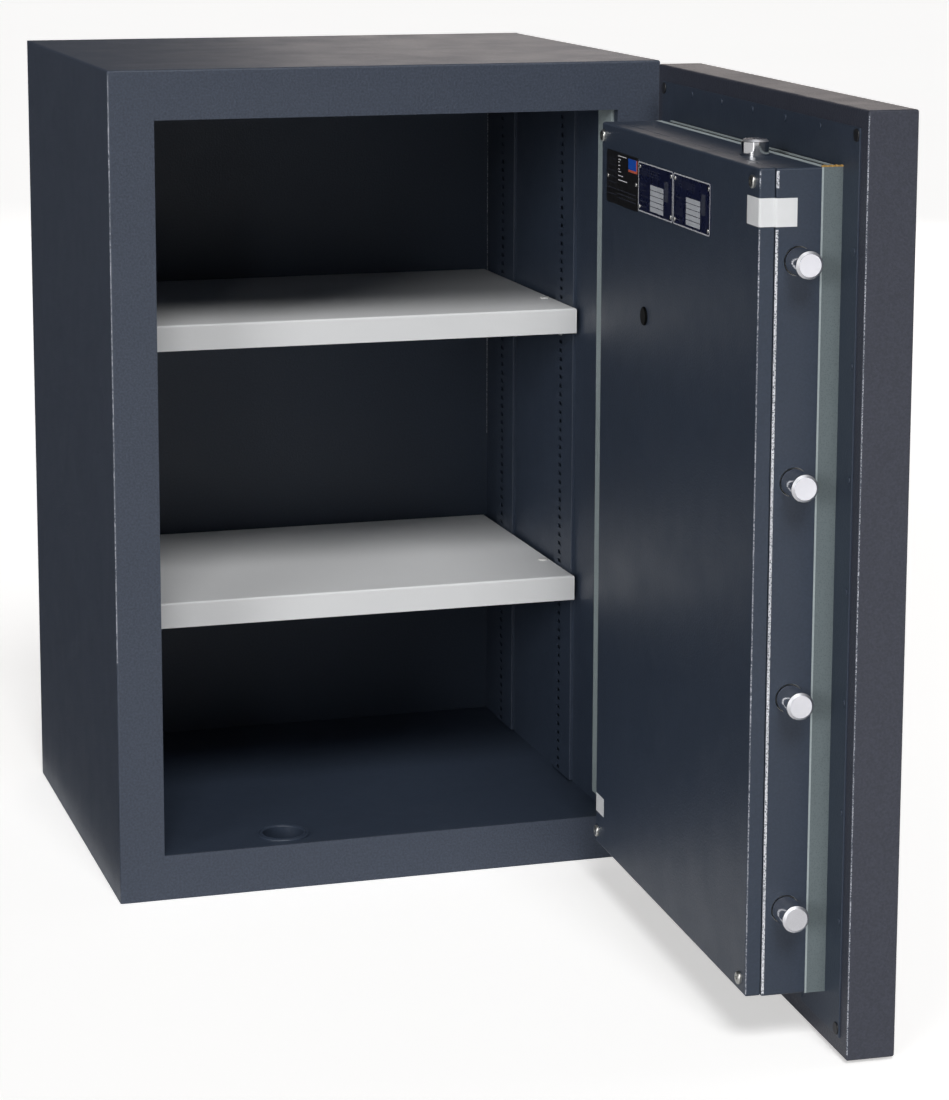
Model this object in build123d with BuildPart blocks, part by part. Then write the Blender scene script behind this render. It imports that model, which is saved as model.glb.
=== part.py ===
from build123d import *
import os
from math import atan2, degrees, sqrt

os.makedirs("parts", exist_ok=True)

# A fire and burglary cabinet with two shelves. The origin is at the middle of its underside,
# the front faces -Y, and the door hangs on the +X side. Door pieces are drawn shut, then swung
# about the hinge to where the door rests. Sizes are in millimetres.

# Cabinet
width = 600.0
depth = 505.0
height = 885.0
rim_side = 48.0
rim_top = 52.0
rim_bottom = 49.0
back_wall = 41.0
skin = 3.0
liner = 1.5
bend = 2.5

# Door
rest_angle = 87.5
door_thick = 48.0
door_gap = 3.0
door_edge = 0.5
door_low = 3.0
door_drop = 1.0
door_front = 5.0
door_wall = 2.5
flange_thick = 2.0
flange_width = 30.0
plate_thick = 1.5
plate_inset = 17.0
knuckle_out = 9.0

# Bolt box and its cover, on the inner face of the door
seal_depth = 21.7
seal_thick = 2.5
box_depth = 42.8
box_wall = 2.0
box_flange = 9.0
box_gap_low = 3.0
box_gap_high = 4.0
box_gap_hinge = 10.5
cover_depth = 15.2
cover_wall = 1.5
cover_seam = 0.8
swing_gap = 1.0

# Boltwork
bolt_radius = 13.0
bolt_depth = 42.6
bolt_reach = 31.0
bolt_throw = 30.0
bolt_fit = 0.8
bolt_headroom = 75.0
bolt_first = 135.7
bolt_pitch = 203.0
bolt_chamfer = 2.5
tenon_radius = 6.0
nut_radius = 9.0
nut_thick = 8.0
bar_thick = 6.0
bar_back = 50.0
bar_overrun = 31.0
works_thick = 5.0
works_gap = 4.3
works_width = 29.0
top_bolt_x = 175.0
top_bolt_reach = 15.0
top_bolt_throw = 14.0
top_bolt_length = 50.0
cam_margin = 12.0
guide_thick = 12.0
guide_width = 36.0

# Handle and its crank
handle_x = 190.0
handle_from_top = 418.0
spindle_radius = 8.0
bush_radius = 12.0
crank_thick = 3.0
crank_pin_radius = 4.5
slot_play = 0.8
lever_length = 132.0

# Lock
lock_width = 90.0
lock_height = 100.0
lock_depth = 27.0
lock_wall = 2.5
lock_x = 189.5
lock_from_top = 326.0
key_offset = 10.0
lock_bolt_width = 14.0
lock_bolt_throw = 14.0
lug_width = 12.0
lug_gap = 1.0

# Shelves and their uprights
upright_width = 60.0
upright_proud = 4.0
upright_sheet = 1.2
upright_slot_line = 42.0
upright_front_y = 131.5
upright_back_y = 350.0
slot_long = 10.0
slot_high = 4.0
slot_pitch = 10.2
slot_start = 7.0
shelf_front_y = 116.0
shelf_back_gap = 4.0
shelf_side_gap = 0.8
shelf_lip = 28.0
shelf_sheet = 1.2
upper_slot = 50
lower_slot = 20
hook_rise = 8.0

# Bolt-down point in the floor
anchor_x = -113.0
anchor_y = 38.5
anchor_flange = 28.5
anchor_bore = 22.0
anchor_wall = 1.5
anchor_lip = 1.0
anchor_bolt = 8.0

# Hinges
hinge_length = 100.0
hinge_from_end = 110.0
knuckle_radius = 8.5
hinge_pin_radius = 4.5
leaf_thick = 6.0
leaf_length = 70.0

# Faces that many pieces share
front = -depth / 2
back = depth / 2
left = -width / 2 + rim_side
right = width / 2 - rim_side
floor = rim_bottom
ceiling = height - rim_top
rear = back - back_wall
inner_y = front - door_gap
outer_y = inner_y - door_thick
door_left = -width / 2 + door_edge
door_right = width / 2 - door_edge
door_top = height - door_drop
hinge_x = width / 2 + knuckle_out
hinge_y = inner_y - door_thick / 2

# The box is as wide as its deep edge can be and still pass the jamb as the door swings
swing_radius = sqrt((hinge_x - left) ** 2 + (front - hinge_y) ** 2) - swing_gap
box_y = inner_y + seal_depth
box_end = box_y + box_depth
cover_y = box_end + cover_seam
cover_end = box_end + cover_depth
box_left = hinge_x - sqrt(swing_radius**2 - (box_end - hinge_y) ** 2)
cover_left = hinge_x - sqrt(swing_radius**2 - (cover_end - hinge_y) ** 2)
box_right = right - box_gap_hinge
box_low = floor + box_gap_low
box_high = ceiling - box_gap_high

# Boltwork places
tray_y = box_y + box_wall
bolt_y = inner_y + bolt_depth
bolt_count = int((box_high - bolt_headroom - bolt_first) // bolt_pitch) + 1
bolt_heights = [bolt_first + i * bolt_pitch for i in range(bolt_count)]
bolt_tip = box_left - bolt_reach
bar_left = box_left + bar_back
bar_right = bar_left + bar_thick
works_y = tray_y + works_gap
handle_z = height - handle_from_top
lock_low = height - lock_from_top
spindle_x = door_left + handle_x
lock_left = door_left + lock_x - lock_width / 2
lock_right = lock_left + lock_width
lock_bolt_left = lock_left + 18.0
key_x = door_left + lock_x + key_offset
key_z = lock_low + lock_height * 0.55
top_x = door_left + top_bolt_x
top_tip = box_high + top_bolt_reach
top_foot = top_tip - top_bolt_length
pin_z = top_foot - top_bolt_throw - cam_margin - 2.0
crank_radius = bolt_throw / sqrt(2)

opened = Location((hinge_x, hinge_y, 0)) * Location((0, 0, 0), (0, 0, rest_angle))
opened = opened * Location((-hinge_x, -hinge_y, 0))


def block(x, y, z, mode=Mode.ADD):
    """Joins a block to the part in hand, or cuts it. Each of x, y and z is (low, high)."""
    with Locations(((x[0] + x[1]) / 2, (y[0] + y[1]) / 2, (z[0] + z[1]) / 2)):
        Box(x[1] - x[0], y[1] - y[0], z[1] - z[0], mode=mode)


def rod(radius, start, end, mode=Mode.ADD):
    """Joins or cuts a round bar between two points on a line along X, Y or Z."""
    spans = [abs(b - a) for a, b in zip(start, end)]
    turn = ((0, 90, 0), (90, 0, 0), (0, 0, 0))[spans.index(max(spans))]
    with Locations(tuple((a + b) / 2 for a, b in zip(start, end))):
        Cylinder(radius, max(spans), rotation=turn, mode=mode)


def swung(part):
    """The piece of the shut door, where it lies with the door at rest."""
    moved = part.moved(opened)
    moved.label = part.label
    return moved


# ---------------------------------------------------------------- cabinet

with BuildPart() as outer_shell:
    block((-width / 2, width / 2), (front, back - skin), (0, height))
    rim_edges = outer_shell.faces().sort_by(Axis.Y)[0].edges().sort_by(Axis.Z)[1:]
    top_edges = outer_shell.faces().sort_by(Axis.Z)[-1].edges().filter_by(Axis.Y)
    fillet(rim_edges + top_edges, bend)
    block(
        (-width / 2 + skin, width / 2 - skin),
        (front + skin, back),
        (-skin, height - skin),
        Mode.SUBTRACT,
    )
    block((left, right), (front, front + skin), (floor, ceiling), Mode.SUBTRACT)
outer_shell.part.label = "outer_shell"
export_step(outer_shell.part, "parts/outer_shell.step")

with BuildPart() as back_panel:
    block((-width / 2, width / 2), (back - skin, back), (0, height))
    fillet(back_panel.faces().sort_by(Axis.Y)[-1].edges().sort_by(Axis.Z)[1:], bend)
back_panel.part.label = "back_panel"
export_step(back_panel.part, "parts/back_panel.step")

with BuildPart() as base_panel:
    block((-width / 2 + skin, width / 2 - skin), (front + skin, back - skin), (0, skin))
    with Locations((anchor_x, front + anchor_y, skin / 2)):
        Hole(anchor_bolt)
base_panel.part.label = "base_panel"
export_step(base_panel.part, "parts/base_panel.step")

fill_y = (front + skin, back - skin)
fill_x = (left - liner, right + liner)
socket_radius = bolt_radius + 3.0
socket_wall = 2.0
socket_end = bolt_tip - 3.0 - socket_wall
top_socket_end = top_tip + 3.0 + socket_wall

with BuildPart() as fill_left:
    block((-width / 2 + skin, fill_x[0]), fill_y, (skin, height - skin))
    for z in bolt_heights:
        rod(socket_radius + socket_wall, (socket_end, bolt_y, z), (left, bolt_y, z), Mode.SUBTRACT)
fill_left.part.label = "fill_left"
export_step(fill_left.part, "parts/fill_left.step")

with BuildPart() as fill_right:
    block((fill_x[1], width / 2 - skin), fill_y, (skin, height - skin))
fill_right.part.label = "fill_right"
export_step(fill_right.part, "parts/fill_right.step")

with BuildPart() as fill_top:
    block(fill_x, fill_y, (ceiling + liner, height - skin))
    rod(
        socket_radius + socket_wall,
        (top_x, bolt_y, ceiling),
        (top_x, bolt_y, top_socket_end),
        Mode.SUBTRACT,
    )
fill_top.part.label = "fill_top"
export_step(fill_top.part, "parts/fill_top.step")

with BuildPart() as fill_bottom:
    block(fill_x, fill_y, (skin, floor - liner))
    with Locations((anchor_x, front + anchor_y, floor / 2)):
        Hole(anchor_bore + anchor_wall)
fill_bottom.part.label = "fill_bottom"
export_step(fill_bottom.part, "parts/fill_bottom.step")

with BuildPart() as fill_back:
    block(fill_x, (rear + liner, back - skin), (floor - liner, ceiling + liner))
fill_back.part.label = "fill_back"
export_step(fill_back.part, "parts/fill_back.step")

with BuildPart() as inner_liner:
    block(fill_x, (front + skin, rear + liner), (floor - liner, ceiling + liner))
    block((left, right), (front, rear), (floor, ceiling), Mode.SUBTRACT)
    for z in bolt_heights:
        rod(socket_radius, (left - skin, bolt_y, z), (left, bolt_y, z), Mode.SUBTRACT)
    rod(
        socket_radius,
        (top_x, bolt_y, ceiling),
        (top_x, bolt_y, ceiling + skin),
        Mode.SUBTRACT,
    )
    rod(
        anchor_bore + anchor_wall,
        (anchor_x, front + anchor_y, floor - skin),
        (anchor_x, front + anchor_y, floor),
        Mode.SUBTRACT,
    )
inner_liner.part.label = "inner_liner"
export_step(inner_liner.part, "parts/inner_liner.step")

with BuildPart() as bolt_sockets:
    for z in bolt_heights:
        rod(socket_radius + socket_wall, (socket_end, bolt_y, z), (fill_x[0], bolt_y, z))
    rod(
        socket_radius + socket_wall,
        (top_x, bolt_y, ceiling + liner),
        (top_x, bolt_y, top_socket_end),
    )
    for z in bolt_heights:
        rod(socket_radius, (socket_end + socket_wall, bolt_y, z), (left, bolt_y, z), Mode.SUBTRACT)
    rod(
        socket_radius,
        (top_x, bolt_y, ceiling),
        (top_x, bolt_y, top_socket_end - socket_wall),
        Mode.SUBTRACT,
    )
bolt_sockets.part.label = "bolt_sockets"
export_step(bolt_sockets.part, "parts/bolt_sockets.step")

with BuildPart() as anchor_cup:
    anchor_place = (anchor_x, front + anchor_y)
    with BuildSketch(Plane.XY.offset(floor)):
        with Locations(anchor_place):
            Circle(anchor_flange)
    extrude(amount=anchor_lip)
    with BuildSketch(Plane.XY.offset(skin)):
        with Locations(anchor_place):
            Circle(anchor_bore + anchor_wall)
    extrude(amount=floor - skin)
    with BuildSketch(Plane.XY.offset(skin + 2 * anchor_wall)):
        with Locations(anchor_place):
            Circle(anchor_bore)
    extrude(amount=floor, mode=Mode.SUBTRACT)
    with BuildSketch(Plane.XY):
        with Locations(anchor_place):
            Circle(anchor_bolt)
    extrude(amount=floor, mode=Mode.SUBTRACT)
anchor_cup.part.label = "anchor_cup"
export_step(anchor_cup.part, "parts/anchor_cup.step")

jamb_seal_proud = 3.0
jamb_seal_start = 12.7
jamb_seal_width = 43.0
jamb_seal_lift = 12.0
jamb_seal_y = front + jamb_seal_start

with BuildPart() as jamb_seal:
    block(
        (right - jamb_seal_proud, right),
        (jamb_seal_y, jamb_seal_y + jamb_seal_width),
        (floor + jamb_seal_lift, ceiling),
    )
    proud_edges = jamb_seal.faces().sort_by(Axis.X)[0].edges().filter_by(Axis.Z)
    fillet(proud_edges, jamb_seal_proud / 2)
jamb_seal.part.label = "jamb_seal"
export_step(jamb_seal.part, "parts/jamb_seal.step")

# ---------------------------------------------------------------- shelves

upright_low = floor + 2.0
upright_high = ceiling - 2.0
first_slot = floor + slot_start
slot_count = int((upright_high - first_slot) // slot_pitch)
shelf_left = left + upright_proud + shelf_side_gap
shelf_right = right - upright_proud - shelf_side_gap


def upright(side, start):
    """One perforated upright. side is -1 on the left wall and 1 on the right wall."""
    wall = right * side
    face = wall - side * upright_proud
    hollow = face + side * upright_sheet
    y = front + start
    with BuildPart() as strip:
        block(sorted((wall, face)), (y, y + upright_width), (upright_low, upright_high))
        block(
            sorted((wall, hollow)),
            (y + upright_sheet, y + upright_width - upright_sheet),
            (upright_low, upright_high),
            Mode.SUBTRACT,
        )
        long_edges = strip.edges().filter_by(Axis.Z).group_by(Axis.X)[0 if side > 0 else -1]
        fillet(long_edges, upright_sheet * 0.8)
        slot_middle = first_slot + (slot_count - 1) * slot_pitch / 2
        with BuildSketch(Plane.YZ.offset(face - side * upright_sheet)):
            with Locations((y + upright_slot_line, slot_middle)):
                with GridLocations(slot_pitch, slot_pitch, 1, slot_count):
                    Rectangle(slot_long, slot_high)
        extrude(amount=3 * upright_sheet * side, mode=Mode.SUBTRACT)
    return strip


upright_front_left = upright(-1, upright_front_y)
upright_front_left.part.label = "upright_front_left"
export_step(upright_front_left.part, "parts/upright_front_left.step")

upright_front_right = upright(1, upright_front_y)
upright_front_right.part.label = "upright_front_right"
export_step(upright_front_right.part, "parts/upright_front_right.step")

upright_back_left = upright(-1, upright_back_y)
upright_back_left.part.label = "upright_back_left"
export_step(upright_back_left.part, "parts/upright_back_left.step")

upright_back_right = upright(1, upright_back_y)
upright_back_right.part.label = "upright_back_right"
export_step(upright_back_right.part, "parts/upright_back_right.step")


plug_hole = 3.0
plug_from_side = 9.0
plug_from_front = 86.0


def shelf(slot):
    """A shelf folded from sheet, standing on the hooks that sit in the given slot."""
    low = first_slot + slot * slot_pitch + hook_rise
    high = low + shelf_lip
    y = (front + shelf_front_y, rear - shelf_back_gap)
    with BuildPart() as tray:
        block((shelf_left, shelf_right), y, (low, high))
        round_edges = tray.faces().sort_by(Axis.Z)[-1].edges()
        fillet(round_edges, 2 * shelf_sheet)
        block(
            (shelf_left + shelf_sheet, shelf_right - shelf_sheet),
            (y[0] + shelf_sheet, y[1] - shelf_sheet),
            (low, high - shelf_sheet),
            Mode.SUBTRACT,
        )
        with Locations((shelf_right - plug_from_side, y[0] + plug_from_front, high)):
            Hole(plug_hole, depth=2 * shelf_sheet)
    return tray


def shelf_clips(slot):
    """Four hooks in the uprights, under the shelf's side lips."""
    z = first_slot + slot * slot_pitch
    hook_wide = slot_long - 2.0
    with BuildPart() as clips:
        for side in (-1, 1):
            face = (right - upright_proud) * side
            for start in (upright_front_y, upright_back_y):
                y = front + start + upright_slot_line
                hook_y = (y - hook_wide / 2, y + hook_wide / 2)
                block(
                    sorted((face + side * 2.5, face)),
                    hook_y,
                    (z - slot_high / 2 + 0.5, z + slot_high / 2 - 0.5),
                )
                block(
                    sorted((face, face - side * 1.5)),
                    hook_y,
                    (z - 3.0, z + hook_rise),
                )
                block(
                    sorted((face, face - side * 14.0)),
                    hook_y,
                    (z + hook_rise - 1.5, z + hook_rise),
                )
    return clips


def shelf_plug(slot):
    """A plastic plug that fills the spare hole in a shelf."""
    high = first_slot + slot * slot_pitch + hook_rise + shelf_lip
    with BuildPart() as plug:
        with BuildSketch(Plane.XY.offset(high)):
            with Locations((shelf_right - plug_from_side, front + shelf_front_y + plug_from_front)):
                Circle(plug_hole + 2.5)
        extrude(amount=1.5)
        fillet(plug.faces().sort_by(Axis.Z)[-1].edges(), 1.0)
        with BuildSketch(Plane.XY.offset(high)):
            with Locations((shelf_right - plug_from_side, front + shelf_front_y + plug_from_front)):
                Circle(plug_hole - 0.1)
        extrude(amount=-3 * shelf_sheet)
    return plug


upper_shelf = shelf(upper_slot)
upper_shelf.part.label = "upper_shelf"
export_step(upper_shelf.part, "parts/upper_shelf.step")

lower_shelf = shelf(lower_slot)
lower_shelf.part.label = "lower_shelf"
export_step(lower_shelf.part, "parts/lower_shelf.step")

upper_shelf_clips = shelf_clips(upper_slot)
upper_shelf_clips.part.label = "upper_shelf_clips"
export_step(upper_shelf_clips.part, "parts/upper_shelf_clips.step")

lower_shelf_clips = shelf_clips(lower_slot)
lower_shelf_clips.part.label = "lower_shelf_clips"
export_step(lower_shelf_clips.part, "parts/lower_shelf_clips.step")

upper_shelf_plug = shelf_plug(upper_slot)
upper_shelf_plug.part.label = "upper_shelf_plug"
export_step(upper_shelf_plug.part, "parts/upper_shelf_plug.step")

lower_shelf_plug = shelf_plug(lower_slot)
lower_shelf_plug.part.label = "lower_shelf_plug"
export_step(lower_shelf_plug.part, "parts/lower_shelf_plug.step")

# ---------------------------------------------------------------- hinges

hinge_starts = (hinge_from_end, height - hinge_from_end - hinge_length)
leaf_setback = 2.0
leaf_overhang = 10.0
leaf_half = 7.0
knuckle_gap = 0.5
pin_fit = 0.2
pin_head = 4.0

with BuildPart() as hinge_leaves_body:
    for z in hinge_starts:
        half = z + hinge_length / 2 - knuckle_gap
        leaf_x = (width / 2, width / 2 + leaf_thick)
        block(
            leaf_x,
            (front + leaf_setback, front + leaf_length),
            (z - leaf_overhang, z + hinge_length + leaf_overhang),
        )
        block(leaf_x, (hinge_y, front + leaf_length), (z, half))
        rod(knuckle_radius, (hinge_x, hinge_y, z), (hinge_x, hinge_y, half))
        rod(
            hinge_pin_radius + pin_fit,
            (hinge_x, hinge_y, z - 1),
            (hinge_x, hinge_y, half + 1),
            Mode.SUBTRACT,
        )
hinge_leaves_body.part.label = "hinge_leaves_body"
export_step(hinge_leaves_body.part, "parts/hinge_leaves_body.step")

with BuildPart() as hinge_leaves_door:
    for z in hinge_starts:
        half = z + hinge_length / 2 + knuckle_gap
        end = z + hinge_length
        block((door_right, hinge_x), (hinge_y - leaf_half, hinge_y + leaf_half), (half, end))
        rod(knuckle_radius, (hinge_x, hinge_y, half), (hinge_x, hinge_y, end))
        rod(
            hinge_pin_radius + pin_fit,
            (hinge_x, hinge_y, half - 1),
            (hinge_x, hinge_y, end + 1),
            Mode.SUBTRACT,
        )
hinge_leaves_door.part.label = "hinge_leaves_door"
export_step(swung(hinge_leaves_door.part), "parts/hinge_leaves_door.step")

with BuildPart() as hinge_pins:
    for z in hinge_starts:
        end = z + hinge_length + knuckle_gap
        rod(hinge_pin_radius, (hinge_x, hinge_y, z), (hinge_x, hinge_y, end))
        rod(knuckle_radius - 1.0, (hinge_x, hinge_y, end), (hinge_x, hinge_y, end + pin_head))
hinge_pins.part.label = "hinge_pins"
export_step(hinge_pins.part, "parts/hinge_pins.step")

with BuildPart() as hinge_washers:
    for z in hinge_starts:
        middle = z + hinge_length / 2
        rod(
            knuckle_radius,
            (hinge_x, hinge_y, middle - knuckle_gap),
            (hinge_x, hinge_y, middle + knuckle_gap - 0.2),
        )
        rod(
            hinge_pin_radius + pin_fit,
            (hinge_x, hinge_y, middle - 5),
            (hinge_x, hinge_y, middle + 5),
            Mode.SUBTRACT,
        )
hinge_washers.part.label = "hinge_washers"
export_step(hinge_washers.part, "parts/hinge_washers.step")

# ---------------------------------------------------------------- door slab

sleeve_radius = 8.0
key_bore = 6.0
hard_half = 80.0
hard_thick = 4.0
hard_below = 70.0
hard_x = (spindle_x - hard_half, spindle_x + hard_half)
hard_y = (outer_y + door_front, outer_y + door_front + hard_thick)
hard_z = (handle_z - hard_below, lock_low + lock_height)


def passages(y):
    """Cuts the way for the handle bush and for the key through the part in hand."""
    rod(bush_radius, (spindle_x, y[0], handle_z), (spindle_x, y[1], handle_z), Mode.SUBTRACT)
    rod(sleeve_radius, (key_x, y[0], key_z), (key_x, y[1], key_z), Mode.SUBTRACT)


rivet_from_edge = 7.0
rivet_inset = plate_inset + rivet_from_edge
rivet_radius = 2.0
rivet_head = 3.5
corner_plug_radius = 4.0
rivet_left = door_left + rivet_inset
rivet_right = door_right - rivet_inset
rivet_low = door_low + rivet_inset
rivet_high = door_top - rivet_inset
rivet_columns = 5
rivet_rows = 7
column_pitch = (rivet_right - rivet_left) / (rivet_columns + 1)
row_pitch = (rivet_high - rivet_low) / (rivet_rows + 1)
rivet_points = [
    (rivet_left + i * column_pitch, z)
    for i in range(1, rivet_columns + 1)
    for z in (rivet_low, rivet_high)
] + [
    (x, rivet_low + i * row_pitch)
    for i in range(1, rivet_rows + 1)
    for x in (rivet_left, rivet_right)
]
corner_points = [(x, z) for x in (rivet_left, rivet_right) for z in (rivet_low, rivet_high)]


def fixing_holes():
    """Cuts the rivet and plug holes of the inner plate through the part in hand."""
    with BuildSketch(Plane.XZ.offset(-inner_y - plate_thick - 1.0)) as holes:
        with Locations(rivet_points):
            Circle(rivet_radius)
        with Locations(corner_points):
            Circle(corner_plug_radius)
    extrude(holes.sketch, amount=plate_thick + flange_thick + 2.0, mode=Mode.SUBTRACT)


with BuildPart() as door_skin:
    block((door_left, door_right), (outer_y, inner_y), (door_low, door_top))
    fillet(door_skin.edges(), bend)
    block(
        (door_left + door_wall, door_right - door_wall),
        (outer_y + door_front, inner_y - flange_thick),
        (door_low + door_wall, door_top - door_wall),
        Mode.SUBTRACT,
    )
    block(
        (door_left + flange_width, door_right - flange_width),
        (inner_y - flange_thick, inner_y),
        (door_low + flange_width, door_top - flange_width),
        Mode.SUBTRACT,
    )
    fixing_holes()
    passages((outer_y, outer_y + door_front))
door_skin.part.label = "door_skin"
export_step(swung(door_skin.part), "parts/door_skin.step")

with BuildPart() as hard_plate:
    block(hard_x, hard_y, hard_z)
    passages(hard_y)
hard_plate.part.label = "hard_plate"
export_step(swung(hard_plate.part), "parts/hard_plate.step")

with BuildPart() as door_fill:
    block(
        (door_left + door_wall, door_right - door_wall),
        (outer_y + door_front, inner_y - flange_thick),
        (door_low + door_wall, door_top - door_wall),
    )
    block(
        (door_left + flange_width, door_right - flange_width),
        (inner_y - flange_thick, inner_y),
        (door_low + flange_width, door_top - flange_width),
    )
    block(hard_x, hard_y, hard_z, Mode.SUBTRACT)
    passages((outer_y, inner_y))
    with BuildSketch(Plane.XZ.offset(-inner_y + 4.0)):
        with Locations(rivet_points):
            Circle(rivet_head)
        with Locations(corner_points):
            Circle(corner_plug_radius + 1.0)
    extrude(amount=-4.0, mode=Mode.SUBTRACT)
door_fill.part.label = "door_fill"
export_step(swung(door_fill.part), "parts/door_fill.step")

with BuildPart() as door_inner_plate:
    block(
        (door_left + plate_inset, door_right - plate_inset),
        (inner_y, inner_y + plate_thick),
        (door_low + plate_inset, door_top - plate_inset),
    )
    fillet(door_inner_plate.faces().sort_by(Axis.Y)[-1].edges(), plate_thick * 0.5)
    fixing_holes()
    passages((inner_y, inner_y + plate_thick))
door_inner_plate.part.label = "door_inner_plate"
export_step(swung(door_inner_plate.part), "parts/door_inner_plate.step")

with BuildPart() as plate_fixings:
    with BuildSketch(Plane.XZ.offset(-inner_y - plate_thick)):
        with Locations(rivet_points):
            Circle(rivet_head)
    extrude(amount=-0.9)
    fillet(plate_fixings.faces().group_by(Axis.Y)[-1].edges(), 0.7)
    with BuildSketch(Plane.XZ.offset(-inner_y - plate_thick)):
        with Locations(rivet_points):
            Circle(rivet_radius)
    extrude(amount=plate_thick + flange_thick + 1.0)
plate_fixings.part.label = "plate_fixings"
export_step(swung(plate_fixings.part), "parts/plate_fixings.step")

with BuildPart() as corner_plugs:
    with BuildSketch(Plane.XZ.offset(-inner_y - plate_thick)):
        with Locations(corner_points):
            Circle(corner_plug_radius + 2.0)
    extrude(amount=-1.2)
    fillet(corner_plugs.faces().group_by(Axis.Y)[-1].edges(), 0.8)
    with BuildSketch(Plane.XZ.offset(-inner_y - plate_thick)):
        with Locations(corner_points):
            Circle(corner_plug_radius)
    extrude(amount=plate_thick + flange_thick + 1.0)
corner_plugs.part.label = "corner_plugs"
export_step(swung(corner_plugs.part), "parts/corner_plugs.step")

seal_y = (inner_y + plate_thick, box_y)

with BuildPart() as plug_core:
    block((box_left + seal_thick, box_right), seal_y, (box_low + seal_thick, box_high - seal_thick))
    passages(seal_y)
plug_core.part.label = "plug_core"
export_step(swung(plug_core.part), "parts/plug_core.step")

with BuildPart() as door_seal_side:
    block((box_left, box_left + seal_thick), seal_y, (box_low, box_high))
door_seal_side.part.label = "door_seal_side"
export_step(swung(door_seal_side.part), "parts/door_seal_side.step")

with BuildPart() as door_seal_ends:
    block((box_left + seal_thick, box_right), seal_y, (box_low, box_low + seal_thick))
    block((box_left + seal_thick, box_right), seal_y, (box_high - seal_thick, box_high))
door_seal_ends.part.label = "door_seal_ends"
export_step(swung(door_seal_ends.part), "parts/door_seal_ends.step")

# ---------------------------------------------------------------- bolt box

hole_radius = bolt_radius + bolt_fit
screw_from_lock = 16.5
screw_from_hinge = 7.5
screw_from_end = 13.5
screw_radius = 2.5
post_radius = 5.0
cover_points = [
    (x, z)
    for x in (cover_left + screw_from_lock, box_right - screw_from_hinge)
    for z in (box_low + screw_from_end, box_high - screw_from_end)
]

with BuildPart() as bolt_box:
    block((box_left, box_right), (box_y, box_end), (box_low, box_high))
    fillet(bolt_box.edges().filter_by(Axis.Y), bend)
    fillet(bolt_box.faces().sort_by(Axis.Y)[-1].edges(), box_wall * 0.75)
    block(
        (box_left + box_wall, box_right - box_wall),
        (tray_y, box_end - box_wall),
        (box_low + box_wall, box_high - box_wall),
        Mode.SUBTRACT,
    )
    block(
        (box_left + box_flange, box_right - box_flange),
        (box_end - box_wall, box_end),
        (box_low + box_flange, box_high - box_flange),
        Mode.SUBTRACT,
    )
    for x, z in cover_points:
        rod(post_radius + 0.3, (x, box_end - box_wall, z), (x, box_end, z), Mode.SUBTRACT)
    for z in bolt_heights:
        rod(hole_radius, (box_left, bolt_y, z), (box_left + box_flange, bolt_y, z), Mode.SUBTRACT)
    rod(
        hole_radius,
        (top_x, bolt_y, box_high - box_flange),
        (top_x, bolt_y, box_high),
        Mode.SUBTRACT,
    )
    passages((box_y, tray_y))
bolt_box.part.label = "bolt_box"
export_step(swung(bolt_box.part), "parts/bolt_box.step")

cover_plug_from_lock_edge = 390.0
cover_plug_from_top = 182.0
cover_plug_x = door_left + cover_plug_from_lock_edge
cover_plug_z = box_high - cover_plug_from_top
cover_plug_radius = 7.0

with BuildPart() as bolt_cover:
    block((cover_left, box_right), (cover_y, cover_end), (box_low, box_high))
    fillet(bolt_cover.edges().filter_by(Axis.Y), bend)
    fillet(bolt_cover.faces().sort_by(Axis.Y)[-1].edges(), bend)
    block(
        (cover_left + cover_wall, box_right - cover_wall),
        (cover_y, cover_end - cover_wall),
        (box_low + cover_wall, box_high - cover_wall),
        Mode.SUBTRACT,
    )
    for x, z in cover_points:
        rod(screw_radius + 0.2, (x, cover_y, z), (x, cover_end, z), Mode.SUBTRACT)
    rod(
        cover_plug_radius,
        (cover_plug_x, cover_y, cover_plug_z),
        (cover_plug_x, cover_end, cover_plug_z),
        Mode.SUBTRACT,
    )
bolt_cover.part.label = "bolt_cover"
export_step(swung(bolt_cover.part), "parts/bolt_cover.step")

with BuildPart() as cover_posts:
    for x, z in cover_points:
        rod(post_radius, (x, tray_y, z), (x, cover_end - cover_wall, z))
    for x, z in cover_points:
        rod(
            screw_radius + 0.1,
            (x, cover_end - 16.0, z),
            (x, cover_end, z),
            Mode.SUBTRACT,
        )
cover_posts.part.label = "cover_posts"
export_step(swung(cover_posts.part), "parts/cover_posts.step")

screw_head = 6.2
screw_head_high = 3.2
screw_head_round = 1.8
screw_length = 12.0
hex_across = 2.2
hex_depth = 2.0

with BuildPart() as cover_screws:
    with BuildSketch(Plane.XZ.offset(-cover_end)):
        with Locations(cover_points):
            Circle(screw_head)
    extrude(amount=-screw_head_high)
    fillet(cover_screws.faces().group_by(Axis.Y)[-1].edges(), screw_head_round)
    with BuildSketch(Plane.XZ.offset(-cover_end)):
        with Locations(cover_points):
            Circle(screw_radius)
    extrude(amount=screw_length)
    with BuildSketch(Plane.XZ.offset(-cover_end - screw_head_high)):
        with Locations(cover_points):
            RegularPolygon(hex_across, 6)
    extrude(amount=hex_depth, mode=Mode.SUBTRACT)
cover_screws.part.label = "cover_screws"
export_step(swung(cover_screws.part), "parts/cover_screws.step")

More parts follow.
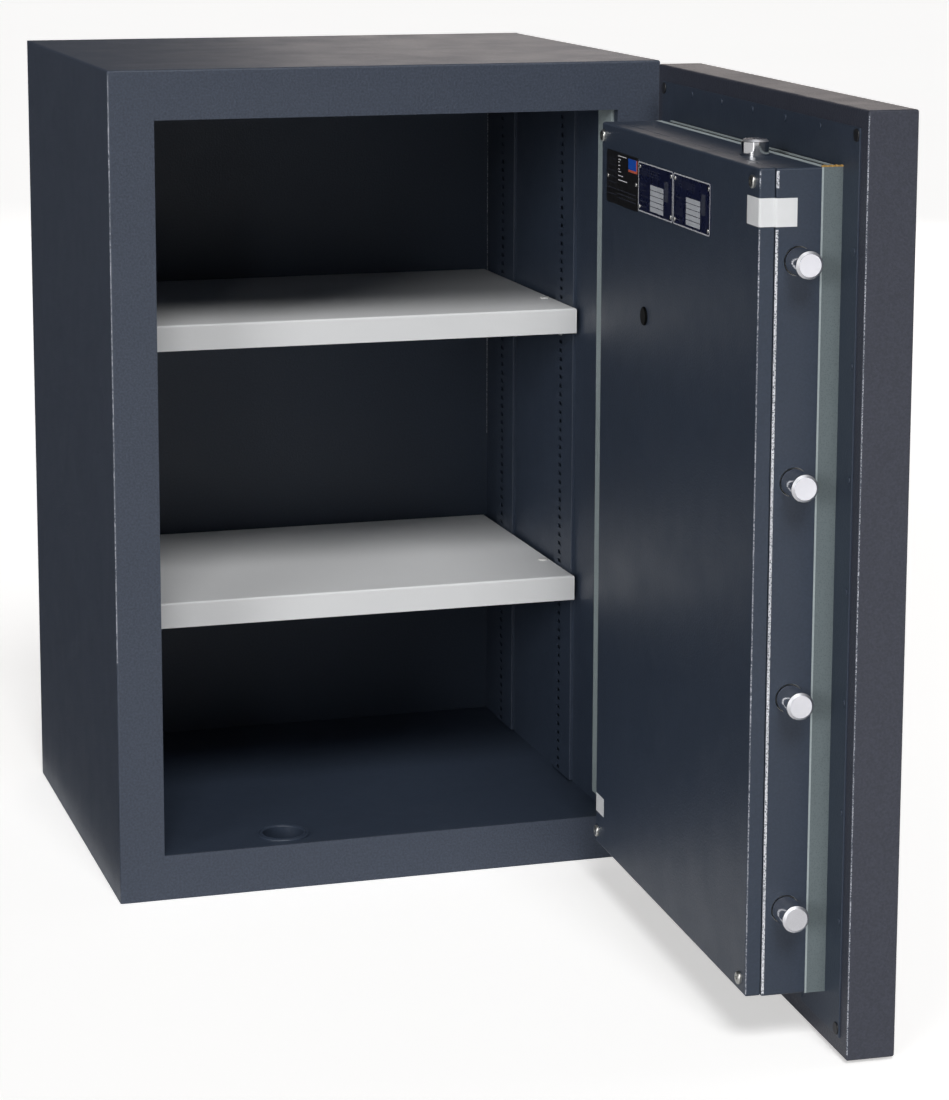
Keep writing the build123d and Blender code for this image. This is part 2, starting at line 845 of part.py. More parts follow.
with BuildPart() as cover_plug:
    with BuildSketch(Plane.XZ.offset(-cover_end)):
        with Locations((cover_plug_x, cover_plug_z)):
            Circle(cover_plug_radius + 2.5)
    extrude(amount=-2.0)
    fillet(cover_plug.faces().sort_by(Axis.Y)[-1].edges(), 1.4)
    rod(
        cover_plug_radius - 0.1,
        (cover_plug_x, cover_end - 5.0, cover_plug_z),
        (cover_plug_x, cover_end, cover_plug_z),
    )
cover_plug.part.label = "cover_plug"
export_step(swung(cover_plug.part), "parts/cover_plug.step")

# Data plates, in one row near the top of the cover
plate_row_start = 190.5
plate_row_drop = 53.0
plate_row_x = door_left + plate_row_start
plate_row_z = box_high - plate_row_drop
plate_gap = 2.0
data_plate = (110.0, 50.0)
grade_plate_size = (106.0, 54.0)
data_plate_thick = 0.8
plate_rivet_radius = 2.2
plate_rivet_high = 1.1
plate_rivet_round = 0.9
plate_rivet_inset = 5.0
plate_centres = (
    plate_row_x + data_plate[0] / 2,
    plate_row_x + data_plate[0] * 1.5 + plate_gap,
    plate_row_x + data_plate[0] * 2 + plate_gap * 2 + grade_plate_size[0] / 2,
)


def name_plate(x, size):
    """A blank plate on the cover, with its corners rounded."""
    with BuildPart() as plate:
        with BuildSketch(Plane.XZ.offset(-cover_end)):
            with Locations((x, plate_row_z)):
                RectangleRounded(size[0], size[1], 3.0)
        extrude(amount=-data_plate_thick)
    return plate


data_plate_outer = name_plate(plate_centres[0], data_plate)
data_plate_outer.part.label = "data_plate_outer"
export_step(swung(data_plate_outer.part), "parts/data_plate_outer.step")

data_plate_middle = name_plate(plate_centres[1], data_plate)
data_plate_middle.part.label = "data_plate_middle"
export_step(swung(data_plate_middle.part), "parts/data_plate_middle.step")

grade_plate = name_plate(plate_centres[2], grade_plate_size)
grade_plate.part.label = "grade_plate"
export_step(swung(grade_plate.part), "parts/grade_plate.step")

with BuildPart() as plate_rivets:
    with BuildSketch(Plane.XZ.offset(-cover_end - data_plate_thick)):
        for x in plate_centres[:2]:
            with Locations((x, plate_row_z)):
                with GridLocations(
                    data_plate[0] - 2 * plate_rivet_inset,
                    data_plate[1] - 2 * plate_rivet_inset,
                    2,
                    2,
                ):
                    Circle(plate_rivet_radius)
        with Locations((plate_centres[2], plate_row_z)):
            with GridLocations(grade_plate_size[0] - 2 * plate_rivet_inset, 1.0, 2, 1):
                Circle(plate_rivet_radius)
    extrude(amount=-plate_rivet_high)
    fillet(plate_rivets.faces().group_by(Axis.Y)[-1].edges(), plate_rivet_round)
plate_rivets.part.label = "plate_rivets"
export_step(swung(plate_rivets.part), "parts/plate_rivets.step")

sticker_thick = 0.2
seal_sticker_high = 26.0
seal_sticker_z = (plate_row_z, plate_row_z + seal_sticker_high)
seal_sticker_wide = 32.0
small_sticker = (27.0, 20.0)
small_sticker_low = 87.0

with BuildPart() as stickers:
    block(
        (cover_left + bend, cover_left + seal_sticker_wide),
        (cover_end, cover_end + sticker_thick),
        seal_sticker_z,
    )
    block(
        (cover_left - sticker_thick, cover_left),
        (cover_y, cover_end - bend),
        seal_sticker_z,
    )
    block(
        (box_left - sticker_thick, box_left),
        (box_end - 20.0, box_end - bend),
        seal_sticker_z,
    )
    block(
        (box_right - bend - small_sticker[0], box_right - bend),
        (cover_end, cover_end + sticker_thick),
        (small_sticker_low, small_sticker_low + small_sticker[1]),
    )
stickers.part.label = "stickers"
export_step(swung(stickers.part), "parts/stickers.step")

# ---------------------------------------------------------------- boltwork

bolt_end = bar_right + nut_thick + 1.0

with BuildPart() as side_bolts:
    with BuildSketch(Plane.YZ.offset(bolt_tip)):
        with Locations([(bolt_y, z) for z in bolt_heights]):
            Circle(bolt_radius)
    extrude(amount=bar_left - bolt_tip)
    chamfer(side_bolts.edges().group_by(Axis.X)[0], bolt_chamfer)
    with BuildSketch(Plane.YZ.offset(bar_left)):
        with Locations([(bolt_y, z) for z in bolt_heights]):
            Circle(tenon_radius)
    extrude(amount=bolt_end - bar_left)
side_bolts.part.label = "side_bolts"
export_step(swung(side_bolts.part), "parts/side_bolts.step")

with BuildPart() as bolt_nuts:
    with BuildSketch(Plane.YZ.offset(bar_right)):
        with Locations([(bolt_y, z) for z in bolt_heights]):
            RegularPolygon(nut_radius, 6)
        with Locations([(bolt_y, z) for z in bolt_heights]):
            Circle(tenon_radius, mode=Mode.SUBTRACT)
    extrude(amount=nut_thick)
bolt_nuts.part.label = "bolt_nuts"
export_step(swung(bolt_nuts.part), "parts/bolt_nuts.step")

tongue_past_spindle = 30.0
tongue_below = 27.0
tongue_above = 33.0
lug_clearance = 6.0
cam_plate_margin = 14.0
tongue_x = (bar_left, spindle_x + tongue_past_spindle)
tongue_z = (handle_z - tongue_below, handle_z + tongue_above)
plate_y = (works_y, works_y + works_thick)
lug_right = lock_bolt_left - lug_gap
lug_top = lock_low - lug_clearance
cam_pin_radius = 4.0
cam_play = 0.3
cam_slot_length = sqrt(bolt_throw**2 + top_bolt_throw**2)
cam_slot_angle = degrees(atan2(top_bolt_throw, bolt_throw))
crank_slot_low = handle_z + bolt_throw / 2
crank_slot_high = handle_z + crank_radius
crank_slot_width = 2 * (crank_pin_radius + slot_play)

with BuildPart() as bolt_bar:
    block(
        (bar_left, bar_right),
        (works_y, works_y + works_width),
        (bolt_heights[0] - bar_overrun, max(bolt_heights[-1] + bar_overrun, pin_z)),
    )
    block(tongue_x, plate_y, tongue_z)
    block((lug_right - lug_width, lug_right), plate_y, (handle_z, lug_top))
    block(
        (bar_left, top_x + cam_plate_margin),
        plate_y,
        (pin_z - top_bolt_throw - cam_plate_margin, pin_z + cam_margin),
    )
    for z in bolt_heights:
        rod(tenon_radius, (bar_left, bolt_y, z), (bar_right, bolt_y, z), Mode.SUBTRACT)
    with BuildSketch(Plane.XZ.offset(-works_y)):
        with Locations((top_x - bolt_throw / 2, pin_z - top_bolt_throw / 2)):
            SlotCenterToCenter(
                cam_slot_length,
                2 * (cam_pin_radius + cam_play),
                rotation=cam_slot_angle,
            )
        with Locations((spindle_x - bolt_throw / 2, (crank_slot_low + crank_slot_high) / 2)):
            SlotCenterToCenter(
                crank_slot_high - crank_slot_low + 1.0,
                crank_slot_width,
                rotation=90,
            )
    extrude(amount=-works_thick, mode=Mode.SUBTRACT)
bolt_bar.part.label = "bolt_bar"
export_step(swung(bolt_bar.part), "parts/bolt_bar.step")

tail_y = (works_y + works_thick + 1.0, bolt_y + 8.0)

with BuildPart() as top_bolt:
    rod(bolt_radius, (top_x, bolt_y, top_foot), (top_x, bolt_y, top_tip))
    chamfer(top_bolt.faces().sort_by(Axis.Z)[-1].edges(), bolt_chamfer)
    block((top_x - 8.0, top_x + 8.0), tail_y, (pin_z - 8.0, top_foot))
    rod(cam_pin_radius, (top_x, works_y - 0.5, pin_z), (top_x, tail_y[1], pin_z))
top_bolt.part.label = "top_bolt"
export_step(swung(top_bolt.part), "parts/top_bolt.step")

guide_x = (box_left + box_wall, box_left + box_wall + guide_thick)
guide_y = (tray_y, bolt_y + guide_width / 2)
guide_fit = 0.4

with BuildPart() as bolt_guides:
    for z in bolt_heights:
        block(guide_x, guide_y, (z - guide_width / 2, z + guide_width / 2))
        rod(
            bolt_radius + guide_fit,
            (guide_x[0], bolt_y, z),
            (guide_x[1], bolt_y, z),
            Mode.SUBTRACT,
        )
    block(
        (top_x - guide_width / 2, top_x + guide_width / 2),
        guide_y,
        (box_high - box_wall - guide_thick, box_high - box_wall),
    )
    rod(
        bolt_radius + guide_fit,
        (top_x, bolt_y, box_high - box_wall - guide_thick),
        (top_x, bolt_y, box_high - box_wall),
        Mode.SUBTRACT,
    )
bolt_guides.part.label = "bolt_guides"
export_step(swung(bolt_guides.part), "parts/bolt_guides.step")

# ---------------------------------------------------------------- handle

bush_bore = spindle_radius + 0.3
rosette_radius = 29.0
rosette_thick = 6.0
hub_radius = 19.0
hub_thick = 26.0
crank_y = (tray_y + 0.6, tray_y + 0.6 + crank_thick)
crank_pin = (spindle_x - bolt_throw / 2, handle_z + bolt_throw / 2)

with BuildPart() as handle_bush:
    rod(
        bush_radius,
        (spindle_x, outer_y, handle_z),
        (spindle_x, tray_y, handle_z),
    )
    rod(
        rosette_radius,
        (spindle_x, outer_y - rosette_thick, handle_z),
        (spindle_x, outer_y, handle_z),
    )
    fillet(handle_bush.faces().sort_by(Axis.Y)[0].edges(), rosette_thick / 3)
    rod(
        bush_bore,
        (spindle_x, outer_y - rosette_thick, handle_z),
        (spindle_x, tray_y, handle_z),
        Mode.SUBTRACT,
    )
handle_bush.part.label = "handle_bush"
export_step(swung(handle_bush.part), "parts/handle_bush.step")

hub_y = (outer_y - rosette_thick - 0.5 - hub_thick, outer_y - rosette_thick - 0.5)

with BuildPart() as handle_spindle:
    rod(
        spindle_radius,
        (spindle_x, hub_y[0] + hub_thick / 2, handle_z),
        (spindle_x, crank_y[1], handle_z),
    )
    with BuildSketch(Plane.XZ.offset(-crank_y[0])):
        with Locations((spindle_x, handle_z)):
            Circle(spindle_radius + 3.0)
        with Locations(((spindle_x + crank_pin[0]) / 2, (handle_z + crank_pin[1]) / 2)):
            SlotCenterToCenter(crank_radius, 2 * crank_pin_radius + 3.0, rotation=135)
    extrude(amount=-crank_thick)
    rod(
        crank_pin_radius,
        (crank_pin[0], crank_y[0], crank_pin[1]),
        (crank_pin[0], plate_y[1] + 1.0, crank_pin[1]),
    )
handle_spindle.part.label = "handle_spindle"
export_step(swung(handle_spindle.part), "parts/handle_spindle.step")

with BuildPart() as handle_lever:
    rod(hub_radius, (spindle_x, hub_y[0], handle_z), (spindle_x, hub_y[1], handle_z))
    fillet(handle_lever.faces().sort_by(Axis.Y)[0].edges(), 5.0)
    with BuildSketch(Plane.YZ.offset(spindle_x)):
        with Locations((hub_y[0] + hub_thick / 2, handle_z)):
            RectangleRounded(14.0, 24.0, 5.0)
    with BuildSketch(Plane.YZ.offset(spindle_x + lever_length)):
        with Locations((hub_y[0] + hub_thick / 2 - 4.0, handle_z)):
            RectangleRounded(11.0, 17.0, 5.0)
    loft()
    rod(
        spindle_radius,
        (spindle_x, hub_y[0] + hub_thick / 2, handle_z),
        (spindle_x, hub_y[1], handle_z),
        Mode.SUBTRACT,
    )
handle_lever.part.label = "handle_lever"
export_step(swung(handle_lever.part), "parts/handle_lever.step")

# ---------------------------------------------------------------- lock

lock_y = (tray_y, tray_y + lock_depth)
lock_high = lock_low + lock_height
lock_boss = 8.0
lock_screw_inset = 6.0
lock_screw_radius = 2.0
lock_bolt_y = (works_y - 0.5, works_y + works_thick + 2.5)
lock_bolt_low = lock_low - 2.0
lock_bolt_x = (lock_bolt_left, lock_bolt_left + lock_bolt_width)
lock_bolt_fit = 0.3
lock_points = [
    (x, z)
    for x in (lock_left + lock_screw_inset, lock_right - lock_screw_inset)
    for z in (lock_low + lock_screw_inset, lock_high - lock_screw_inset)
]

with BuildPart() as lock_case:
    block((lock_left, lock_right), lock_y, (lock_low, lock_high))
    fillet(lock_case.edges().filter_by(Axis.Y), 2.0)
    deep_y = (lock_y[0] + lock_wall, lock_y[1])
    block(
        (lock_left + lock_wall, lock_right - lock_wall),
        deep_y,
        (lock_low + lock_wall + lock_boss, lock_high - lock_wall - lock_boss),
        Mode.SUBTRACT,
    )
    block(
        (lock_left + lock_wall + lock_boss, lock_right - lock_wall - lock_boss),
        deep_y,
        (lock_low + lock_wall, lock_high - lock_wall),
        Mode.SUBTRACT,
    )
    block(
        (lock_bolt_x[0] - lock_bolt_fit, lock_bolt_x[1] + lock_bolt_fit),
        (lock_bolt_y[0] - lock_bolt_fit, lock_bolt_y[1] + lock_bolt_fit),
        (lock_low, lock_low + lock_wall + lock_boss),
        Mode.SUBTRACT,
    )
    rod(key_bore, (key_x, lock_y[0], key_z), (key_x, deep_y[0], key_z), Mode.SUBTRACT)
    for x, z in lock_points:
        rod(lock_screw_radius + 0.1, (x, lock_y[1] - 8.0, z), (x, lock_y[1], z), Mode.SUBTRACT)
lock_case.part.label = "lock_case"
export_step(swung(lock_case.part), "parts/lock_case.step")

with BuildPart() as lock_cover:
    block((lock_left, lock_right), (lock_y[1], lock_y[1] + lock_wall), (lock_low, lock_high))
    fillet(lock_cover.edges().filter_by(Axis.Y), 2.0)
    for x, z in lock_points:
        rod(
            lock_screw_radius + 0.1,
            (x, lock_y[1], z),
            (x, lock_y[1] + lock_wall, z),
            Mode.SUBTRACT,
        )
lock_cover.part.label = "lock_cover"
export_step(swung(lock_cover.part), "parts/lock_cover.step")

with BuildPart() as lock_screws:
    for x, z in lock_points:
        rod(
            lock_screw_radius + 1.8,
            (x, lock_y[1] + lock_wall, z),
            (x, lock_y[1] + lock_wall + 2.2, z),
        )
        rod(lock_screw_radius, (x, lock_y[1] - 7.0, z), (x, lock_y[1] + lock_wall, z))
lock_screws.part.label = "lock_screws"
export_step(swung(lock_screws.part), "parts/lock_screws.step")

with BuildPart() as lock_bolt:
    block(lock_bolt_x, lock_bolt_y, (lock_bolt_low, lock_low + 0.6 * lock_height))
    chamfer(lock_bolt.faces().sort_by(Axis.Z)[0].edges(), 1.0)
lock_bolt.part.label = "lock_bolt"
export_step(swung(lock_bolt.part), "parts/lock_bolt.step")

curtain_radius = 9.0
curtain_end = lock_y[1] - 1.5

with BuildPart() as key_curtain:
    rod(
        key_bore - 0.3,
        (key_x, tray_y - 8.0, key_z),
        (key_x, curtain_end, key_z),
    )
    rod(
        curtain_radius,
        (key_x, lock_y[0] + lock_wall + 0.3, key_z),
        (key_x, curtain_end, key_z),
    )
    block(
        (key_x - 1.6, key_x + 1.6),
        (tray_y - 8.0, curtain_end - 3.0),
        (key_z - 2.0, key_z + curtain_radius),
        Mode.SUBTRACT,
    )
key_curtain.part.label = "key_curtain"
export_step(swung(key_curtain.part), "parts/key_curtain.step")

escutcheon_thick = 3.0
escutcheon_size = (42.0, 62.0)
cover_pivot_z = key_z + 20.0
cover_pivot_radius = 3.0

with BuildPart() as escutcheon:
    with BuildSketch(Plane.XZ.offset(-outer_y)):
        with Locations((key_x, key_z + 4.0)):
            RectangleRounded(escutcheon_size[0], escutcheon_size[1], 8.0)
    extrude(amount=escutcheon_thick)
    fillet(escutcheon.faces().sort_by(Axis.Y)[0].edges(), 1.2)
    rod(sleeve_radius, (key_x, outer_y, key_z), (key_x, tray_y, key_z))
    rod(key_bore, (key_x, outer_y - escutcheon_thick, key_z), (key_x, tray_y, key_z), Mode.SUBTRACT)
    rod(
        cover_pivot_radius,
        (key_x, outer_y - escutcheon_thick - 5.0, cover_pivot_z),
        (key_x, outer_y, cover_pivot_z),
    )
escutcheon.part.label = "escutcheon"
export_step(swung(escutcheon.part), "parts/escutcheon.step")

flap_y = outer_y - escutcheon_thick - 0.4

with BuildPart() as keyhole_cover:
    with BuildSketch(Plane.XZ.offset(-flap_y)):
        with Locations((key_x, key_z)):
            Circle(11.0)
        with Locations((key_x, cover_pivot_z)):
            Circle(7.0)
        with Locations((key_x, (key_z + cover_pivot_z) / 2)):
            Rectangle(12.0, cover_pivot_z - key_z)
        with Locations((key_x, cover_pivot_z)):
            Circle(cover_pivot_radius + 0.2, mode=Mode.SUBTRACT)
    extrude(amount=3.0)
    fillet(keyhole_cover.faces().sort_by(Axis.Y)[0].outer_wire().edges(), 0.8)
keyhole_cover.part.label = "keyhole_cover"
export_step(swung(keyhole_cover.part), "parts/keyhole_cover.step")
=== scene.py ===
"""Dresses the steel cabinet: its finishes, the small fittings on it, and the studio round it."""

from __future__ import annotations

import logging
from dataclasses import dataclass, field
from enum import Enum
from math import cos, pi, radians, sin

import bmesh
import bpy
from bmesh.types import BMEdge, BMesh, BMFace, BMVert
from mathutils import Matrix, Vector

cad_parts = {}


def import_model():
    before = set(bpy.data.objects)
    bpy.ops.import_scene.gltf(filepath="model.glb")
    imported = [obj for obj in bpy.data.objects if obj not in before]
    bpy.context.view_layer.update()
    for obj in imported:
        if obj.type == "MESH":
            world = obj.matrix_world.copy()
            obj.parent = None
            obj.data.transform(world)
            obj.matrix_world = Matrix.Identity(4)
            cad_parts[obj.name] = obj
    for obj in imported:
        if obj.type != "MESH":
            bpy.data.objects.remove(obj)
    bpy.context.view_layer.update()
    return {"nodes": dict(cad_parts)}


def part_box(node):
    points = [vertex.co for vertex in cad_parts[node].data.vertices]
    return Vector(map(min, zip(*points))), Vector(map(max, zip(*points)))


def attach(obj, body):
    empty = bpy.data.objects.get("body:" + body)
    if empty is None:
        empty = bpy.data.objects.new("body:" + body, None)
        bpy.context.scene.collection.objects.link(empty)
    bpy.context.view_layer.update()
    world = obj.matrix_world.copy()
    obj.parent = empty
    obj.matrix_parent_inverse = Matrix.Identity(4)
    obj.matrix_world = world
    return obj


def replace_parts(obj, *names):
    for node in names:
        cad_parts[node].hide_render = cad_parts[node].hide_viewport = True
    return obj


LOG = logging.getLogger("cabinet")
MM = 0.001

Colour = tuple[float, float, float]
Material = bpy.types.Material
Socket = bpy.types.NodeSocket
Span = tuple[float, float]


class Body(Enum):
    """The bodies that a fitting can ride on."""

    CABINET = "cabinet"
    DOOR = "door"
    BOLTWORK = "boltwork"
    TOP_BOLT = "top_bolt"


class Slot(Enum):
    """The places that a finish can go."""

    OUTER_PAINT = "outer_paint"
    INNER_PAINT = "inner_paint"
    SHELF_PAINT = "shelf_paint"
    SEAL_STRIP = "seal_strip"
    CAST_FILL = "cast_fill"
    BOLT_CHROME = "bolt_chrome"
    HANDLE_CHROME = "handle_chrome"
    ZINC_STEEL = "zinc_steel"
    BLACK_PLASTIC = "black_plastic"
    WHITE_PLASTIC = "white_plastic"
    DATA_PLATE = "data_plate"
    GRADE_PLATE = "grade_plate"
    LABEL_FILM = "label_film"
    BRASS = "brass"


# ---------------------------------------------------------------- finishes


class NodeBench:
    """Lays out the nodes of one material, all from the piece's own coordinates."""

    def __init__(self, name: str) -> None:
        """Starts a material with a bare shader.

        Args:
            name: What the finish is called.
        """
        self.material = bpy.data.materials.new(name)
        self.material.use_nodes = True
        self.tree = self.material.node_tree
        self.shader = self.tree.nodes["Principled BSDF"]
        self.place = self.tree.nodes.new("ShaderNodeTexCoord").outputs["Object"]

    def join(self, source: Socket, target: Socket) -> None:
        """Links one socket to another."""
        self.tree.links.new(source, target)

    def stretched(self, scale: tuple[float, float, float]) -> Socket:
        """The piece's coordinates, pulled out along its axes.

        Args:
            scale: How much finer the pattern gets along X, Y and Z.

        Returns:
            The stretched coordinates.
        """
        mapping = self.tree.nodes.new("ShaderNodeMapping")
        mapping.inputs["Scale"].default_value = scale
        self.join(self.place, mapping.inputs["Vector"])
        return mapping.outputs["Vector"]

    def noise(self, scale: float, detail: float = 2.0, place: Socket | None = None) -> Socket:
        """A cloudy pattern.

        Args:
            scale: Features to the metre.
            detail: How many finer layers it has.
            place: Coordinates to read, or None for the piece's own.

        Returns:
            Its value from 0 to 1.
        """
        node = self.tree.nodes.new("ShaderNodeTexNoise")
        node.inputs["Scale"].default_value = scale
        node.inputs["Detail"].default_value = detail
        self.join(place or self.place, node.inputs["Vector"])
        return node.outputs["Fac"]

    def cells(self, scale: float) -> Socket:
        """Distance to the nearest of many scattered points, about `scale` to the metre."""
        node = self.tree.nodes.new("ShaderNodeTexVoronoi")
        node.inputs["Scale"].default_value = scale
        self.join(self.place, node.inputs["Vector"])
        return node.outputs["Distance"]

    def spread(self, value: Socket, source: Span, target: Span) -> Socket:
        """A value carried from one range to another, and held inside it.

        Args:
            value: The value to carry over.
            source: The range it is read in.
            target: The range it comes out in.

        Returns:
            The new value.
        """
        node = self.tree.nodes.new("ShaderNodeMapRange")
        node.inputs["From Min"].default_value, node.inputs["From Max"].default_value = source
        node.inputs["To Min"].default_value, node.inputs["To Max"].default_value = target
        self.join(value, node.inputs["Value"])
        return node.outputs["Result"]

    def blend(self, share: Socket, low: Colour | Socket, high: Colour | Socket) -> Socket:
        """A colour between two others.

        Args:
            share: 0 gives the first colour and 1 the second.
            low: The first colour.
            high: The second colour.

        Returns:
            The mixed colour.
        """
        node = self.tree.nodes.new("ShaderNodeMix")
        node.data_type = "RGBA"
        self.join(share, node.inputs[0])
        for socket, colour in ((node.inputs[6], low), (node.inputs[7], high)):
            if isinstance(colour, tuple):
                socket.default_value = (*colour, 1.0)
            else:
                self.join(colour, socket)
        return node.outputs[2]

    def bump(self, height: Socket, distance: float, below: Socket | None = None) -> Socket:
        """A raised pattern.

        Args:
            height: The pattern, from 0 to 1.
            distance: How far it stands up, in metres.
            below: A normal to build on, or None.

        Returns:
            The new normal.
        """
        node = self.tree.nodes.new("ShaderNodeBump")
        node.inputs["Distance"].default_value = distance
        self.join(height, node.inputs["Height"])
        if below is not None:
            self.join(below, node.inputs["Normal"])
        return node.outputs["Normal"]

    def dress(self, colour: Socket, roughness: Socket, normal: Socket) -> None:
        """Gives the shader its colour, roughness and normal."""
        self.join(colour, self.shader.inputs["Base Color"])
        self.join(roughness, self.shader.inputs["Roughness"])
        self.join(normal, self.shader.inputs["Normal"])

    def settle(self, **values: float) -> None:
        """Sets plain values on the shader, by socket name with _ for a space."""
        for name, value in values.items():
            self.shader.inputs[name.replace("_", " ")].default_value = value


def moved(grown: list) -> list[BMVert]:
    """The new vertices among what an operator grew."""
    return [item for item in grown if isinstance(item, BMVert)]


def shade(colour: Colour, factor: float) -> Colour:
    """The same hue, lighter or darker by a factor."""
    return tuple(channel * factor for channel in colour)


@dataclass(frozen=True)
class PowderPaint:
    """Baked paint with a fine orange-peel texture."""

    name: str
    colour: Colour
    grain: float = 440.0
    grain_height: float = 0.00055
    gloss: Span = (0.4, 0.47)
    peak_highlight: float = 0.5
    cloud: float = 0.03

    def material(self) -> Material:
        """Builds the paint's material."""
        bench = NodeBench(self.name)
        peel = bench.noise(self.grain, 3.0)
        fine = bench.noise(self.grain * 3.1, 2.0)
        clouds = bench.noise(4.0, 3.0)
        wiped = bench.noise(22.0, 4.0)
        # Painted highlight: the colour turns lighter on the peaks of the peel bumps.
        peak_highlight = bench.spread(peel, (0.35, 0.72), (0.0, self.peak_highlight))
        even = bench.blend(clouds, shade(self.colour, 1 - self.cloud), shade(self.colour, 1 + self.cloud))
        colour = bench.blend(peak_highlight, even, shade(self.colour, 1.9))
        roughness = bench.spread(wiped, (0.3, 0.7), self.gloss)
        normal = bench.bump(fine, self.grain_height * 0.35, bench.bump(peel, self.grain_height))
        bench.dress(colour, roughness, normal)
        bench.settle(Specular_IOR_Level=0.5)
        return bench.material


@dataclass(frozen=True)
class EdgeHighlightPaint:
    """Paint over a bend, with painted highlights: small bright spots on its grain and a lighter tone over
    the bend stand in for the light it catches.
    """

    name: str
    colour: Colour
    painted_glint: Colour = (0.6, 0.62, 0.68)
    speck_scale: float = 900.0
    speck_from: float = 0.45
    dullest: float = 0.45

    def material(self) -> Material:
        """Builds the paint's material."""
        bench = NodeBench(self.name)
        grain = bench.noise(self.speck_scale, 1.0)
        drift = bench.spread(bench.noise(16.0, 3.0), (0.35, 0.65), (self.dullest, 1.0))
        # Painted highlight: bright spots where the grain is high, over a tone lighter than the flats.
        painted_glint = bench.spread(grain, (self.speck_from, self.speck_from + 0.12), (0.0, 1.0))
        bright = bench.blend(drift, shade(self.colour, 1.3), self.painted_glint)
        colour = bench.blend(painted_glint, shade(self.colour, 1.1), bright)
        roughness = bench.spread(grain, (0.4, 0.6), (0.42, 0.28))
        bench.dress(colour, roughness, bench.bump(grain, 0.0002))
        return bench.material


@dataclass(frozen=True)
class BareMetal:
    """Plated or polished metal, with the marks of how it was worked."""

    name: str
    colour: Colour
    gloss: Span
    stain: Colour
    brush: tuple[float, float, float] = (1.0, 1.0, 1.0)
    brush_scale: float = 300.0
    brush_depth: float = 0.00001
    stain_share: float = 0.4

    def material(self) -> Material:
        """Builds the metal's material."""
        bench = NodeBench(self.name)
        brushed = bench.noise(self.brush_scale, 3.0, bench.stretched(self.brush))
        patches = bench.noise(60.0, 4.0)
        share = bench.spread(patches, (0.4, 0.75), (0.0, self.stain_share))
        colour = bench.blend(share, self.colour, self.stain)
        roughness = bench.spread(bench.noise(25.0, 5.0), (0.3, 0.7), self.gloss)
        bench.dress(colour, roughness, bench.bump(brushed, self.brush_depth))
        bench.settle(Metallic=1.0)
        return bench.material


@dataclass(frozen=True)
class MouldedPlastic:
    """Moulded plastic or printed film with a faint leathery skin."""

    name: str
    colour: Colour
    gloss: Span = (0.38, 0.5)
    grain: float = 900.0
    grain_height: float = 0.00003
    shine: float = 0.5

    def material(self) -> Material:
        """Builds the plastic's material."""
        bench = NodeBench(self.name)
        colour = bench.blend(bench.noise(40.0, 3.0), shade(self.colour, 0.92), shade(self.colour, 1.06))
        roughness = bench.spread(bench.noise(90.0, 3.0), (0.3, 0.7), self.gloss)
        bench.dress(colour, roughness, bench.bump(bench.noise(self.grain, 2.0), self.grain_height))
        bench.settle(Specular_IOR_Level=self.shine)
        return bench.material


@dataclass(frozen=True)
class FoamStrip:
    """Soft seal strip with open pores, which swells in a fire."""

    name: str
    colour: Colour
    pore_scale: float = 700.0

    def material(self) -> Material:
        """Builds the strip's material."""
        bench = NodeBench(self.name)
        pores = bench.spread(bench.cells(self.pore_scale), (0.0, 0.45), (0.0, 1.0))
        smear = bench.noise(30.0, 4.0, bench.stretched((1.0, 1.0, 0.25)))
        clean = bench.blend(smear, shade(self.colour, 0.86), shade(self.colour, 1.12))
        colour = bench.blend(pores, shade(self.colour, 0.62), clean)
        roughness = bench.spread(smear, (0.3, 0.7), (0.62, 0.85))
        bench.dress(colour, roughness, bench.bump(pores, 0.00012))
        return bench.material


@dataclass(frozen=True)
class CastFill:
    """Cast mineral fill with grit and small voids."""

    name: str
    colour: Colour

    def material(self) -> Material:
        """Builds the fill's material."""
        bench = NodeBench(self.name)
        grit = bench.noise(180.0, 6.0)
        voids = bench.spread(bench.cells(120.0), (0.05, 0.2), (0.0, 1.0))
        mixed = bench.blend(grit, shade(self.colour, 0.7), shade(self.colour, 1.25))
        colour = bench.blend(voids, shade(self.colour, 0.4), mixed)
        roughness = bench.spread(grit, (0.3, 0.7), (0.85, 0.95))
        bench.dress(colour, roughness, bench.bump(grit, 0.0006, bench.bump(voids, 0.0008)))
        return bench.material


GRAPHITE: Colour = (0.047, 0.058, 0.083)

Finish = PowderPaint | EdgeHighlightPaint | BareMetal | MouldedPlastic | FoamStrip | CastFill

